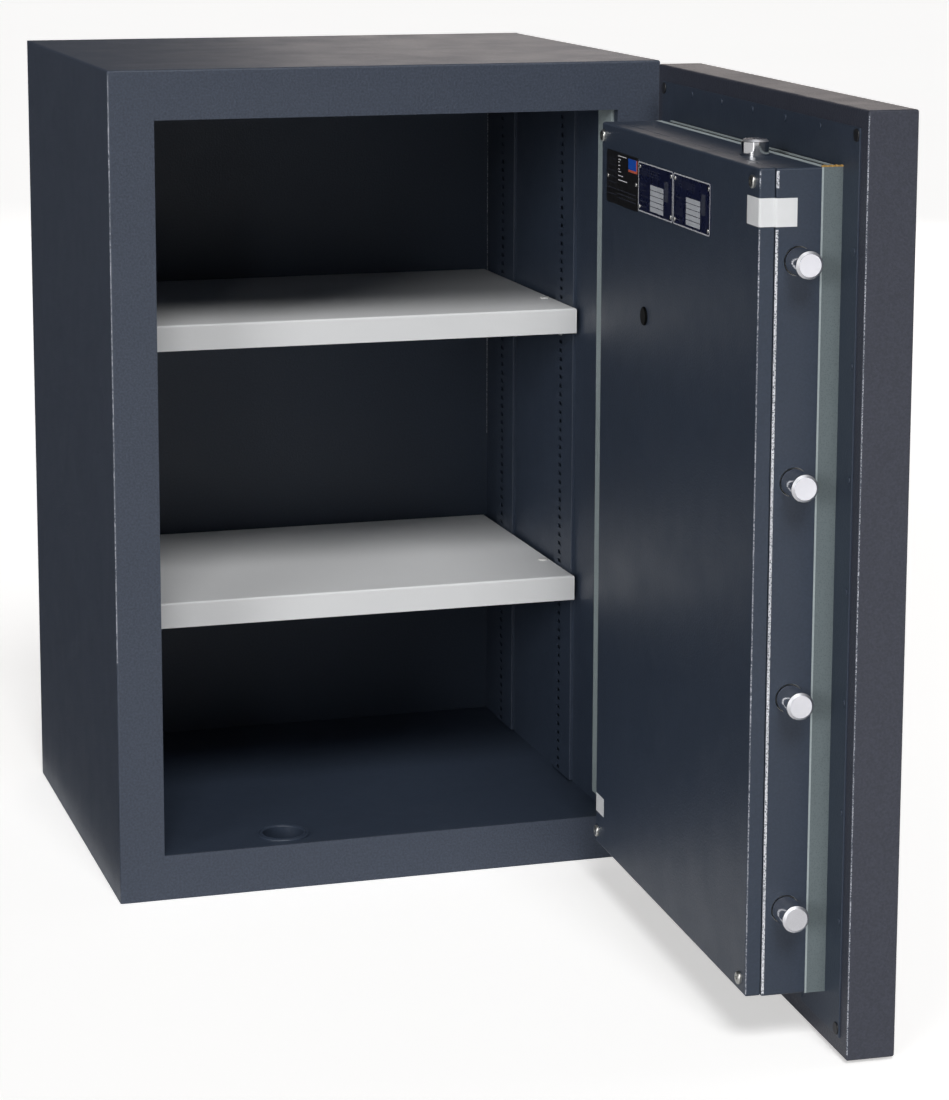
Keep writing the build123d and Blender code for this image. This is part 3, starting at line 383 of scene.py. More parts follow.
FINISHES: dict[Slot, Finish] = {
    Slot.OUTER_PAINT: PowderPaint("outer_paint_textured", GRAPHITE),
    Slot.INNER_PAINT: PowderPaint(
        "inner_paint_textured", (0.031, 0.043, 0.067), grain_height=0.00025, peak_highlight=0.22, gloss=(0.38, 0.45)
    ),
    Slot.SHELF_PAINT: PowderPaint(
        "shelf_paint_pale", (0.82, 0.825, 0.83), grain_height=0.00008, peak_highlight=0.0, cloud=0.02
    ),
    Slot.SEAL_STRIP: FoamStrip("seal_strip_foam", (0.15, 0.185, 0.195)),
    Slot.CAST_FILL: CastFill("cast_fill_grit", (0.34, 0.33, 0.31)),
    Slot.BOLT_CHROME: BareMetal(
        "bolt_chrome_polished", (0.8, 0.8, 0.82), (0.05, 0.13), (0.62, 0.62, 0.65), brush_scale=500.0
    ),
    Slot.HANDLE_CHROME: BareMetal(
        "handle_chrome_satin", (0.7, 0.7, 0.72), (0.16, 0.28), (0.5, 0.5, 0.53), brush=(1.0, 1.0, 12.0)
    ),
    Slot.ZINC_STEEL: BareMetal(
        "zinc_steel_plated",
        (0.62, 0.62, 0.6),
        (0.24, 0.42),
        (0.42, 0.41, 0.36),
        brush=(1.0, 14.0, 1.0),
        brush_depth=0.00003,
    ),
    Slot.BLACK_PLASTIC: MouldedPlastic("black_plastic_moulded", (0.012, 0.012, 0.014)),
    Slot.WHITE_PLASTIC: MouldedPlastic("white_plastic_moulded", (0.74, 0.74, 0.72)),
    Slot.DATA_PLATE: MouldedPlastic("data_plate_navy", (0.008, 0.011, 0.04), gloss=(0.24, 0.34)),
    Slot.GRADE_PLATE: MouldedPlastic("grade_plate_black", (0.011, 0.011, 0.012), gloss=(0.3, 0.42)),
    Slot.LABEL_FILM: MouldedPlastic("label_film_white", (0.82, 0.83, 0.84), gloss=(0.3, 0.4)),
    Slot.BRASS: BareMetal("brass_turned", (0.62, 0.45, 0.17), (0.2, 0.34), (0.4, 0.26, 0.1)),
}

SPECIAL_FINISHES: dict[str, Finish] = {
    # Lighter copy of the seal foam: painted highlight for the jamb strip's front-lit face.
    "jamb_seal": FoamStrip("jamb_foam_painted_highlight", (0.33, 0.39, 0.4), pore_scale=1100.0),
    "plate_fixings": FINISHES[Slot.INNER_PAINT],
    "cover_plug": MouldedPlastic("cover_plug_black", (0.003, 0.003, 0.003), shine=0.05),
    "door_skin": PowderPaint("door_paint_textured", (0.037, 0.0405, 0.057), grain_height=0.0006, peak_highlight=0.5),
}

GASKET_RUBBER = MouldedPlastic("gasket_rubber", (0.006, 0.006, 0.007), gloss=(0.55, 0.7))
CUT_FIBRE = MouldedPlastic("cut_fibre_edge", (0.42, 0.25, 0.07), gloss=(0.7, 0.9), grain_height=0.0003)
PLATE_SILVER = MouldedPlastic("plate_border_silver", (0.56, 0.57, 0.6), gloss=(0.22, 0.34))
FIELD_SILVER = MouldedPlastic("plate_field_pale", (0.52, 0.54, 0.58), gloss=(0.3, 0.45))
FIELD_WHITE = MouldedPlastic("plate_mark_white", (0.8, 0.8, 0.82))
FIELD_BLUE = MouldedPlastic("plate_mark_blue", (0.01, 0.09, 0.48))
FIELD_ORANGE = MouldedPlastic("plate_mark_orange", (0.62, 0.13, 0.07))
FIELD_GREY = MouldedPlastic("plate_rule_grey", (0.045, 0.05, 0.075))
WELD_STEEL = PowderPaint("weld_painted", GRAPHITE, grain_height=0.00012)
TURNED_STEEL = BareMetal("bolt_end_turned", (0.86, 0.86, 0.9), (0.2, 0.28), (0.78, 0.78, 0.82))
CHAMFER_STEEL = BareMetal("bolt_chamfer_satin", (0.86, 0.86, 0.9), (0.45, 0.55), (0.78, 0.78, 0.82))
# Painted highlights for bent edges: light colour and bright spots stand in for glints.
EDGE_HIGHLIGHT = EdgeHighlightPaint("edge_paint_painted_highlight", GRAPHITE)
EDGE_STRONG_HIGHLIGHT = EdgeHighlightPaint(
    "edge_paint_strong_highlight", GRAPHITE, painted_glint=(0.85, 0.86, 0.9), speck_from=0.38, dullest=0.7
)
# Lighter copy of the seal foam: painted highlight on the strips' lit edges.
SEAL_HIGHLIGHT = FoamStrip("seal_edge_painted_highlight", (0.42, 0.48, 0.49), pore_scale=1300.0)
SEAL_CHANNEL = MouldedPlastic("seal_channel_dark", (0.01, 0.011, 0.014), gloss=(0.5, 0.7))


class PaintShop:
    """Holds the materials, so that each finish is mixed once."""

    def __init__(self) -> None:
        """Starts with nothing mixed."""
        self.mixed: dict[str, Material] = {}

    def material(self, finish: Finish) -> Material:
        """The material of a finish, built the first time it is asked for."""
        if finish.name not in self.mixed:
            self.mixed[finish.name] = finish.material()
        return self.mixed[finish.name]

    def dress_nodes(self, nodes: dict[str, bpy.types.Object]) -> None:
        """Gives each part of the frame the finish that its slot calls for.

        Args:
            nodes: The frame's parts by name.
        """
        for name, node in sorted(nodes.items()):
            for place in node.material_slots:
                slot = Slot(place.material.name.split(".")[0])
                place.material = self.material(SPECIAL_FINISHES.get(name, FINISHES[slot]))
                LOG.info("%s takes %s", name, slot.value)


# ---------------------------------------------------------------- mesh work


@dataclass(frozen=True)
class Hinge:
    """The upright line that the door turns about, and how far it stands open."""

    x: float = 309.0
    y: float = -279.5
    angle: float = 87.5

    def opened(self) -> Matrix:
        """The move from the shut door's place to where it stands."""
        pivot = Vector((self.x, self.y, 0.0)) * MM
        turn = Matrix.Rotation(radians(self.angle), 4, "Z")
        return Matrix.Translation(pivot) @ turn @ Matrix.Translation(-pivot)

    def shut_box(self, node: bpy.types.Object) -> tuple[Vector, Vector]:
        """The lowest and highest corner of a door part, as it lies with the door shut.

        Args:
            node: A part of the frame.

        Returns:
            The two corners, in metres.
        """
        back = self.opened().inverted()
        points = [back @ vertex.co for vertex in node.data.vertices]
        low = Vector(min(point[i] for point in points) for i in range(3))
        high = Vector(max(point[i] for point in points) for i in range(3))
        return low, high


@dataclass
class Bench:
    """Where a piece's mesh is made. Sizes are in metres."""

    name: str
    bm: BMesh = field(default_factory=bmesh.new)
    materials: list[Material] = field(default_factory=list)

    def coat(self, faces: list[BMFace], material: Material) -> None:
        """Gives faces a material.

        Args:
            faces: The faces to coat.
            material: What they are coated with.
        """
        if material not in self.materials:
            self.materials.append(material)
        for face in faces:
            face.material_index = self.materials.index(material)

    def block(self, x: Span, y: Span, z: Span, material: Material, round_by: float = 0.0) -> None:
        """Adds a block with its edges taken off.

        Args:
            x: Its lowest and highest X.
            y: Its lowest and highest Y.
            z: Its lowest and highest Z.
            material: Its finish.
            round_by: How much its edges are rounded, or 0.
        """
        made = bmesh.ops.create_cube(self.bm, size=1.0)["verts"]
        size = Vector((x[1] - x[0], y[1] - y[0], z[1] - z[0]))
        middle = Vector((sum(x), sum(y), sum(z))) / 2
        bmesh.ops.scale(self.bm, vec=size, verts=made)
        bmesh.ops.translate(self.bm, vec=middle, verts=made)
        faces = list({face for vertex in made for face in vertex.link_faces})
        self.coat(faces, material)
        if round_by > 0:
            edges = list({edge for vertex in made for edge in vertex.link_edges})
            self.bevel(edges, round_by, 2)

    def bevel(self, edges: list[BMEdge], by: float, segments: int) -> None:
        """Rounds edges.

        Args:
            edges: The edges to round.
            by: The radius.
            segments: How many steps the rounding has.
        """
        bmesh.ops.bevel(
            self.bm,
            geom=edges,
            offset=by,
            offset_type="OFFSET",
            segments=segments,
            profile=0.5,
            affect="EDGES",
            material=-1,
            clamp_overlap=True,
        )

    def since(self, before: set[BMFace]) -> list[BMFace]:
        """The faces made since a set of them was taken."""
        return [face for face in self.bm.faces if face not in before]

    def frame(
        self, low: Vector, high: Vector, border: float, y: Span, material: Material, corner: float = 0.0
    ) -> None:
        """Adds an upright flat frame.

        Args:
            low: The lowest corner of its outline, of which X and Z are used.
            high: The highest corner of its outline.
            border: How wide the frame is.
            y: Its lowest and highest Y.
            material: Its finish.
            corner: The radius of its outer corners, or 0.
        """
        before = set(self.bm.faces)
        made = bmesh.ops.create_grid(self.bm, x_segments=1, y_segments=1, size=0.5)["verts"]
        bmesh.ops.scale(self.bm, vec=(high.x - low.x, high.z - low.z, 1.0), verts=made)
        if corner > 0:
            bmesh.ops.bevel(
                self.bm, geom=made, offset=corner, segments=5, profile=0.5, affect="VERTICES", material=-1
            )
        bmesh.ops.inset_region(
            self.bm, faces=self.since(before), thickness=border, use_boundary=True, use_even_offset=True
        )
        middle = min(self.since(before), key=lambda face: face.calc_center_median().length)
        bmesh.ops.delete(self.bm, geom=[middle], context="FACES")
        bmesh.ops.solidify(self.bm, geom=self.since(before), thickness=y[1] - y[0])
        faces = self.since(before)
        verts = list({vertex for face in faces for vertex in face.verts})
        bmesh.ops.rotate(self.bm, cent=(0, 0, 0), matrix=Matrix.Rotation(pi / 2, 3, "X"), verts=verts)
        foot = min(vertex.co.y for vertex in verts)
        place = ((low.x + high.x) / 2, y[0] - foot, (low.z + high.z) / 2)
        bmesh.ops.translate(self.bm, vec=place, verts=verts)
        bmesh.ops.recalc_face_normals(self.bm, faces=faces)
        self.coat(faces, material)

    def turned(self, profile: list[tuple[float, float]], steps: int, material: Material) -> None:
        """Adds a shape turned about the Z axis from a closed profile.

        Args:
            profile: (radius, height) points in order round the section.
            steps: How many steps the turn has.
            material: Its finish.
        """
        before = set(self.bm.faces)
        points = [self.bm.verts.new((radius, 0.0, height)) for radius, height in profile]
        edges = [self.bm.edges.new((a, b)) for a, b in zip(points, points[1:] + points[:1])]
        bmesh.ops.spin(
            self.bm,
            geom=points + edges,
            cent=(0, 0, 0),
            axis=(0, 0, 1),
            dvec=(0, 0, 0),
            angle=2 * pi,
            steps=steps,
            use_merge=True,
            use_duplicate=False,
        )
        faces = self.since(before)
        bmesh.ops.recalc_face_normals(self.bm, faces=faces)
        self.coat(faces, material)

    def film(
        self, line: list[Vector], tall: Span, thick: float, outward: Vector, material: Material
    ) -> None:
        """Adds an upright film that follows a line.

        Args:
            line: The points it follows.
            tall: Its lowest and highest Z.
            thick: How far it stands off the line.
            outward: Which way it stands off.
            material: Its finish.
        """
        before = set(self.bm.faces)
        points = [self.bm.verts.new((point.x, point.y, tall[0])) for point in line]
        edges = [self.bm.edges.new(pair) for pair in zip(points, points[1:])]
        grown = bmesh.ops.extrude_edge_only(self.bm, edges=edges)["geom"]
        bmesh.ops.translate(self.bm, vec=(0, 0, tall[1] - tall[0]), verts=moved(grown))
        faces = self.since(before)
        bmesh.ops.recalc_face_normals(self.bm, faces=faces)
        if sum(face.normal.dot(outward) for face in faces) < 0:
            bmesh.ops.reverse_faces(self.bm, faces=faces)
        bmesh.ops.solidify(self.bm, geom=faces, thickness=-thick)
        self.coat(self.since(before), material)

    def bent_edge(
        self,
        corner: Vector,
        inward: Vector,
        radius: float,
        tall: Span,
        material: Material,
        reach: float = 0.0,
    ) -> None:
        """Adds a thin skin over an upright bent edge, clear of the flats on both sides.

        Args:
            corner: Where the two flats would meet.
            inward: Which way the metal lies from there, as signs along X and Y.
            radius: The bend's radius.
            tall: Its lowest and highest Z.
            material: Its finish.
            reach: How far it runs on over the flat that faces sideways, or 0.
        """
        margin, steps, skin = (15.0 if reach > 0 else 30.0), 5, 0.05 * MM
        line = [corner + Vector((0.0, inward.y * (radius + reach), 0.0))] if reach > 0 else []
        for step in range(steps + 1):
            angle = radians(margin + (90.0 - 2 * margin) * step / steps)
            step_in = Vector((inward.x * (1 - cos(angle)), inward.y * (1 - sin(angle)), 0.0))
            line.append(corner + radius * step_in)
        self.film(line, tall, skin, -inward, material)

    def hang(
        self, hinge: Hinge, slot: Slot, smooth: bool = False, body: Body = Body.DOOR
    ) -> bpy.types.Object:
        """Finishes a piece that was made with the door shut, and swings it to where the door stands.

        Args:
            hinge: What the door turns about.
            slot: Handed on to finish.
            smooth: Whether its faces are shaded as one curve.
            body: What it rides on.

        Returns:
            The finished piece.
        """
        self.move(hinge.opened())
        return self.finish(body, slot, smooth)

    def move(self, matrix: Matrix) -> None:
        """Moves everything made so far."""
        bmesh.ops.transform(self.bm, matrix=matrix, verts=self.bm.verts)

    def finish(self, body: Body, slot: Slot, smooth: bool = False) -> bpy.types.Object:
        """Makes the mesh an object that rides on a body.

        Args:
            body: What it rides on.
            slot: Not used.
            smooth: Whether its faces are shaded as one curve.

        Returns:
            The finished piece.
        """
        mesh = bpy.data.meshes.new(self.name)
        for face in self.bm.faces:
            face.smooth = smooth
        self.bm.to_mesh(mesh)
        self.bm.free()
        for material in self.materials:
            mesh.materials.append(material)
        piece = bpy.data.objects.new(self.name, mesh)
        bpy.context.scene.collection.objects.link(piece)
        if smooth:
            mesh.set_sharp_from_angle(angle=radians(35))
        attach(piece, body.value)
        LOG.info("%s made, %d faces", self.name, len(mesh.polygons))
        return piece


# ---------------------------------------------------------------- cabinet fittings


@dataclass
class CabinetFittings:
    """The small things fixed to the cabinet: hinge welds and the ring round the bolt-down point."""

    shop: PaintShop
    bead_radius: float = 2.6 * MM
    bead_step: float = 1.6 * MM
    bead_sides: int = 10
    bead_ripple: float = 0.12
    bead_end: float = 0.55
    leaf_high: float = 120.0 * MM
    leaf_start: float = 41.5 * MM
    ring_width: float = 3.2 * MM
    ring_height: float = 1.1 * MM

    def bead(self, bench: Bench, start: Vector, along: Vector) -> None:
        """Adds a rippled weld bead.

        Args:
            bench: Where the welds are made.
            start: Where the bead starts.
            along: How far and which way it runs.
        """
        count = max(4, round(along.length / self.bead_step))
        made = bmesh.ops.create_circle(
            bench.bm, cap_ends=True, segments=self.bead_sides, radius=self.bead_radius
        )["verts"]
        turn = along.to_track_quat("Z", "Y").to_matrix().to_4x4()
        bmesh.ops.transform(bench.bm, matrix=Matrix.Translation(start) @ turn, verts=made)
        ring = list({edge for vertex in made for edge in vertex.link_edges})
        centre = Vector(start)
        size = 1.0
        for i in range(count):
            grown = bmesh.ops.extrude_edge_only(bench.bm, edges=ring)["geom"]
            verts = moved(grown)
            ring = [item for item in grown if isinstance(item, BMEdge) and set(item.verts) <= set(verts)]
            bmesh.ops.translate(bench.bm, vec=along / count, verts=verts)
            centre += along / count
            wanted = 1.0 + self.bead_ripple * sin(i * 2.1) * (0.6 + 0.4 * sin(i * 0.37))
            if i == count - 1:
                wanted = self.bead_end
            shift = Matrix.Translation(-centre)
            bmesh.ops.scale(bench.bm, vec=Vector((1, 1, 1)) * (wanted / size), space=shift, verts=verts)
            size = wanted
        bmesh.ops.contextual_create(bench.bm, geom=ring)
        bmesh.ops.recalc_face_normals(bench.bm, faces=list(bench.bm.faces))
        bench.coat(list(bench.bm.faces), self.shop.material(WELD_STEEL))

    def welds(self) -> None:
        """Runs beads round the three free edges of each hinge leaf."""
        low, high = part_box("hinge_leaves_body")
        wall_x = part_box("outer_shell")[1].x
        leaf = self.leaf_high
        start_y, end_y = low.y + self.leaf_start, high.y
        for name, base in (("lower_hinge_welds", low.z), ("upper_hinge_welds", high.z - leaf)):
            bench = Bench(name)
            out = self.bead_radius * 0.25
            upright = Vector((0, 0, leaf - 6 * MM))
            self.bead(bench, Vector((wall_x + out, end_y + out, base + 3 * MM)), upright)
            level = Vector((0, end_y - start_y - 8 * MM, 0))
            for z in (base - out, base + leaf + out):
                self.bead(bench, Vector((wall_x + out, start_y + 6 * MM, z)), level)
            bench.finish(Body.CABINET, Slot.OUTER_PAINT, smooth=True)

    def anchor_ring(self) -> None:
        """Sets a pressed ring round the mouth of the bolt-down point."""
        low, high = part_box("anchor_cup")
        middle = (low + high) / 2
        outer = (high.x - low.x) / 2
        bore = outer - 6.5 * MM
        top = self.ring_height
        for name, radius in (("anchor_ring_outer", outer - self.ring_width), ("anchor_ring_inner", bore)):
            bench = Bench(name)
            half = self.ring_width / 2
            profile = [
                (radius + half + cos(step * pi / 8) * half, sin(step * pi / 8) * top) for step in range(9)
            ]
            bench.turned(profile, 64, self.shop.material(FINISHES[Slot.INNER_PAINT]))
            bench.move(Matrix.Translation((middle.x, middle.y, high.z)))
            bench.finish(Body.CABINET, Slot.INNER_PAINT, smooth=True)

    def worn_edges(self) -> None:
        """Lays paint with painted highlights over the bends of the front and in the back corner."""
        low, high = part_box("outer_shell")
        bend = 2.5 * MM
        painted_highlight = self.shop.material(EDGE_HIGHLIGHT)
        bench = Bench("cabinet_painted_highlight_edges")
        top = high.z - 2 * bend
        bench.bent_edge(Vector((low.x, low.y, 0.0)), Vector((1, 1, 0)), bend, (0.3 * top, top), painted_highlight)
        bench.bent_edge(Vector((high.x, low.y, 0.0)), Vector((-1, 1, 0)), bend, (0.93 * top, top), painted_highlight)
        # The film in the back corner is a painted highlight line as well.
        inner_low, inner_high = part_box("inner_liner")
        back = Vector((inner_high.x - 2.2 * MM, inner_high.y - 2.2 * MM, 0.0))
        line = [back + Vector((-0.5, 0.1, 0.0)) * MM, back + Vector((0.1, -0.5, 0.0)) * MM]
        bench.film(line, (inner_low.z + 0.35, inner_high.z - 5 * MM), 0.1 * MM, Vector((-1, -1, 0)), painted_highlight)
        bench.finish(Body.CABINET, Slot.OUTER_PAINT, smooth=True)

    def build(self) -> None:
        """Makes every fitting."""
        self.welds()
        self.anchor_ring()
        self.worn_edges()


# ---------------------------------------------------------------- door fittings


@dataclass
class DoorFittings:
    """What is stuck, pressed or sealed onto the inner side of the door."""

    shop: PaintShop
    hinge: Hinge
    nodes: dict[str, bpy.types.Object]
    gasket_inset: float = 2.0 * MM
    gasket_width: float = 5.0 * MM
    fibre_high: float = 1.6 * MM
    fibre_count: int = 16
    film: float = 0.2 * MM
    sticker_bend: float = 2.5 * MM
    box_bend: float = 1.5 * MM
    seal_thick: float = 2.5 * MM
    box_sticker_deep: float = 20.0 * MM
    sticker_low: float = 776.0 * MM
    sticker_drop: float = 18.0 * MM

    def gasket(self) -> None:
        """Fills the seam between the bolt box and its cover with a rubber strip."""
        low, high = self.hinge.shut_box(self.nodes["bolt_cover"])
        box_high = self.hinge.shut_box(self.nodes["bolt_box"])[1]
        inset = Vector((1, 1, 1)) * self.gasket_inset
        bench = Bench("cover_gasket")
        rubber = self.shop.material(GASKET_RUBBER)
        bench.frame(low + inset, high - inset, self.gasket_width, (box_high.y, low.y), rubber)
        bench.hang(self.hinge, Slot.BLACK_PLASTIC)

    def cut_fibre(self) -> None:
        """Leaves a frayed fibre end where the lock-side seal strip was cut at the top."""
        low, high = self.hinge.shut_box(self.nodes["door_seal_side"])
        bench = Bench("seal_cut_end")
        made = bmesh.ops.create_cube(bench.bm, size=1.0)["verts"]
        size = Vector((high.x - low.x, high.y - low.y, self.fibre_high))
        bmesh.ops.scale(bench.bm, vec=size, verts=made)
        long_edges = [e for e in bench.bm.edges if abs(e.verts[0].co.y - e.verts[1].co.y) > size.y / 2]
        bmesh.ops.subdivide_edges(bench.bm, edges=long_edges, cuts=self.fibre_count, use_grid_fill=True)
        for vertex in bench.bm.verts:
            along = vertex.co.y / size.y * self.fibre_count
            if vertex.co.z > 0:
                vertex.co.z += 0.45 * MM * sin(along * 2.3) * cos(along * 0.9)
            vertex.co.x += 0.35 * MM * sin(along * 1.7 + vertex.co.z * 900)
        bmesh.ops.translate(
            bench.bm,
            vec=Vector(((low.x + high.x) / 2, (low.y + high.y) / 2, high.z + self.fibre_high / 2)),
            verts=bench.bm.verts,
        )
        bench.coat(list(bench.bm.faces), self.shop.material(CUT_FIBRE))
        bench.hang(self.hinge, Slot.SEAL_STRIP)

    def wrapped_sticker(self) -> None:
        """Wraps a plain white film round the cover's edge and on across the seam onto the box."""
        low, high = self.hinge.shut_box(self.nodes["stickers"])
        cover_low, cover_high = self.hinge.shut_box(self.nodes["bolt_cover"])
        box_low, box_high = self.hinge.shut_box(self.nodes["bolt_box"])
        bend = self.sticker_bend
        face_end = cover_low.x + 32.0 * MM
        film = self.shop.material(FINISHES[Slot.LABEL_FILM])
        tall = (self.sticker_low, high.z)
        outline = [Vector((face_end, cover_high.y, 0)), Vector((cover_low.x + bend, cover_high.y, 0))]
        for step in range(1, 7):
            angle = step * pi / 12
            centre = Vector((cover_low.x + bend, cover_high.y - bend, 0))
            outline.append(centre + Vector((-sin(angle), cos(angle), 0)) * bend)
        outline.append(Vector((cover_low.x, cover_low.y + 0.4 * MM, 0)))
        corner = Vector((box_low.x, box_high.y, 0))
        outline.append(corner + Vector((1, -1, 0)) * self.box_bend * (1 - cos(pi / 4)))
        outline.append(corner - Vector((0, self.box_bend, 0)))
        outline.append(corner - Vector((0, self.box_sticker_deep, 0)))
        bench = Bench("edge_stickers")
        bench.film(outline, tall, self.film, Vector((-1, 1, 0)), film)
        small_x = (high.x - 27.0 * MM, high.x)
        small_z = (low.z, low.z + 20.0 * MM)
        bench.block(small_x, (cover_high.y, cover_high.y + self.film), small_z, film)
        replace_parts(bench.hang(self.hinge, Slot.LABEL_FILM, smooth=True), "stickers")

    def worn_edges(self) -> None:
        """Lays paint with painted highlights over the bends of the cover, the bolt box and the door's rear
        edge; the box's bend takes the stronger painted highlight.
        """
        cover_low, cover_high = self.hinge.shut_box(self.nodes["bolt_cover"])
        box_low, box_high = self.hinge.shut_box(self.nodes["bolt_box"])
        skin_low, skin_high = self.hinge.shut_box(self.nodes["door_skin"])
        inward = Vector((1, -1, 0))
        bench = Bench("door_painted_highlight_edges")
        painted_highlight, bright = self.shop.material(EDGE_HIGHLIGHT), self.shop.material(EDGE_STRONG_HIGHLIGHT)
        bend = self.sticker_bend
        cover_edge = Vector((cover_low.x, cover_high.y, 0))
        box_edge = Vector((box_low.x, box_high.y, 0))
        below = (cover_low.z + bend, self.sticker_low - bend)
        above = (cover_high.z - self.sticker_drop, cover_high.z - bend)
        for tall in (below, above):
            bench.bent_edge(cover_edge, inward, bend, tall, painted_highlight)
            bench.bent_edge(box_edge, inward, self.box_bend, tall, bright, reach=0.8 * MM)
        tall = (skin_low.z + 2 * bend, skin_high.z - 2 * bend)
        bench.bent_edge(Vector((skin_low.x, skin_high.y, 0)), inward, bend, tall, painted_highlight)
        bench.hang(self.hinge, Slot.INNER_PAINT, smooth=True)

    def seal_channels(self) -> None:
        """Sets the seal above and below the bolt box as a narrow strip beside a dark channel; the strips
        take a lighter copy of the seal foam, a painted highlight.
        """
        low, high = self.hinge.shut_box(self.nodes["door_seal_ends"])
        bench = Bench("seal_end_channels")
        wide = high.y - low.y
        bands = (
            (0.0, 0.12, 1.0, SEAL_CHANNEL),
            (0.12, 0.2, 1.0, SEAL_HIGHLIGHT),
            (0.2, 0.66, 0.4, SEAL_CHANNEL),
            (0.66, 1.0, 1.0, SEAL_HIGHLIGHT),
        )
        for start, end, rise, finish in bands:
            across = (low.y + start * wide, low.y + end * wide)
            depth = self.seal_thick * rise
            foot, head = high.z - self.seal_thick, low.z + self.seal_thick
            for tall in ((foot, foot + depth), (head - depth, head)):
                bench.block((low.x, high.x), across, tall, self.shop.material(finish))
        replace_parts(bench.hang(self.hinge, Slot.SEAL_STRIP), "door_seal_ends")

    def seal_highlight_line(self) -> None:
        """Runs a painted highlight, a pale line, along the front edge of the lock-side seal strip."""
        low, high = self.hinge.shut_box(self.nodes["door_seal_side"])
        bench = Bench("seal_painted_highlight_line")
        across = (high.y - 1.8 * MM, high.y)
        bench.block((low.x - 0.1 * MM, low.x), across, (low.z, high.z), self.shop.material(SEAL_HIGHLIGHT))
        bench.hang(self.hinge, Slot.SEAL_STRIP)

    def build(self) -> None:
        """Makes every fitting."""
        self.gasket()
        self.cut_fibre()
        self.wrapped_sticker()
        self.worn_edges()
        self.seal_channels()
        self.seal_highlight_line()


@dataclass(frozen=True)
class PrintSheet:
    """The face of one plate, printed in millimetres across and down from its corner by the hinge."""

    bench: Bench
    corner: Vector
    ink: float = 0.06 * MM

    def field(self, place: Span, size: Span, material: Material, layer: int = 0) -> None:
        """Prints one field.

        Args:
            place: How far across and down its nearest corner lies.
            size: Its width and height.
            material: Its ink.
            layer: How many inks lie under it.
        """
        right, top = self.corner.x - place[0] * MM, self.corner.z - place[1] * MM
        foot = self.corner.y + layer * self.ink
        x, z = (right - size[0] * MM, right), (top - size[1] * MM, top)
        self.bench.block(x, (foot, foot + self.ink), z, material)

    def rules(self, place: Span, pitch: float, count: int, wide: float, material: Material) -> None:
        """Prints thin rules, one under the other.

        Args:
            place: How far across and down the first one lies.
            pitch: How far each is below the last.
            count: How many there are.
            wide: How long they are.
            material: Their ink.
        """
        for row in range(count):
            self.field((place[0], place[1] + row * pitch), (wide, 0.6), material)


@dataclass
class PlateDressing:
    """The borders and printed fields of the three rating plates."""

    shop: PaintShop
    hinge: Hinge
    nodes: dict[str, bpy.types.Object]
    corner: float = 3.0 * MM
    border: float = 1.3 * MM
    border_proud: float = 0.15 * MM
    cell_rows: int = 5
    cell_top: float = 20.0
    cell_pitch: float = 5.4
    cell_high: float = 4.7
    rule: float = 0.7
    marks: tuple[Span, ...] = (
        (3.0, 27.0),
        (6.6, 8.0),
        (9.2, 4.0),
        (12.8, 5.0),
        (16.4, 5.0),
        (19.0, 9.0),
        (23.0, 16.0),
        (27.5, 30.0),
    )

    def data_plate(self, node: str) -> None:
        """Dresses a navy plate with its border, its column of fields and faint rules.

        Args:
            node: The plate's name in the frame.
        """
        low, high = self.hinge.shut_box(self.nodes[node])
        bench = Bench(f"{node}_print")
        silver = self.shop.material(PLATE_SILVER)
        bench.frame(low, high, self.border, (high.y, high.y + self.border_proud), silver, self.corner)
        sheet = PrintSheet(bench, high)
        pale, faint = self.shop.material(FIELD_SILVER), self.shop.material(FIELD_GREY)
        for row in range(self.cell_rows):
            down = self.cell_top + row * self.cell_pitch
            sheet.field((39.0, down), (42.0, self.cell_high), pale)
            sheet.field((8.0, down + 2.4), (20.0, self.rule), faint)
        sheet.rules((8.0, 6.0), 2.8, 3, 58.0, faint)
        sheet.field((84.0, 12.0), (12.0, 20.0), faint)
        bench.hang(self.hinge, Slot.DATA_PLATE)

    def grade_plate(self) -> None:
        """Dresses the black plate with its two-colour block, short fields and faint rules."""
        high = self.hinge.shut_box(self.nodes["grade_plate"])[1]
        bench = Bench("grade_plate_print")
        sheet = PrintSheet(bench, high)
        white, faint = self.shop.material(FIELD_WHITE), self.shop.material(FIELD_GREY)
        sheet.field((74.0, 3.0), (30.0, 13.5), self.shop.material(FIELD_ORANGE))
        sheet.field((74.0, 3.0), (26.5, 11.0), self.shop.material(FIELD_BLUE), layer=1)
        for down, wide in self.marks:
            sheet.field((40.0, down), (wide, 0.9), white)
        sheet.rules((3.0, 8.0), 6.0, 7, 30.0, faint)
        sheet.rules((38.0, 38.0), 4.0, 3, 62.0, faint)
        bench.hang(self.hinge, Slot.GRADE_PLATE)

    def build(self) -> None:
        """Dresses all three plates."""
        self.data_plate("data_plate_outer")
        self.data_plate("data_plate_middle")
        self.grade_plate()


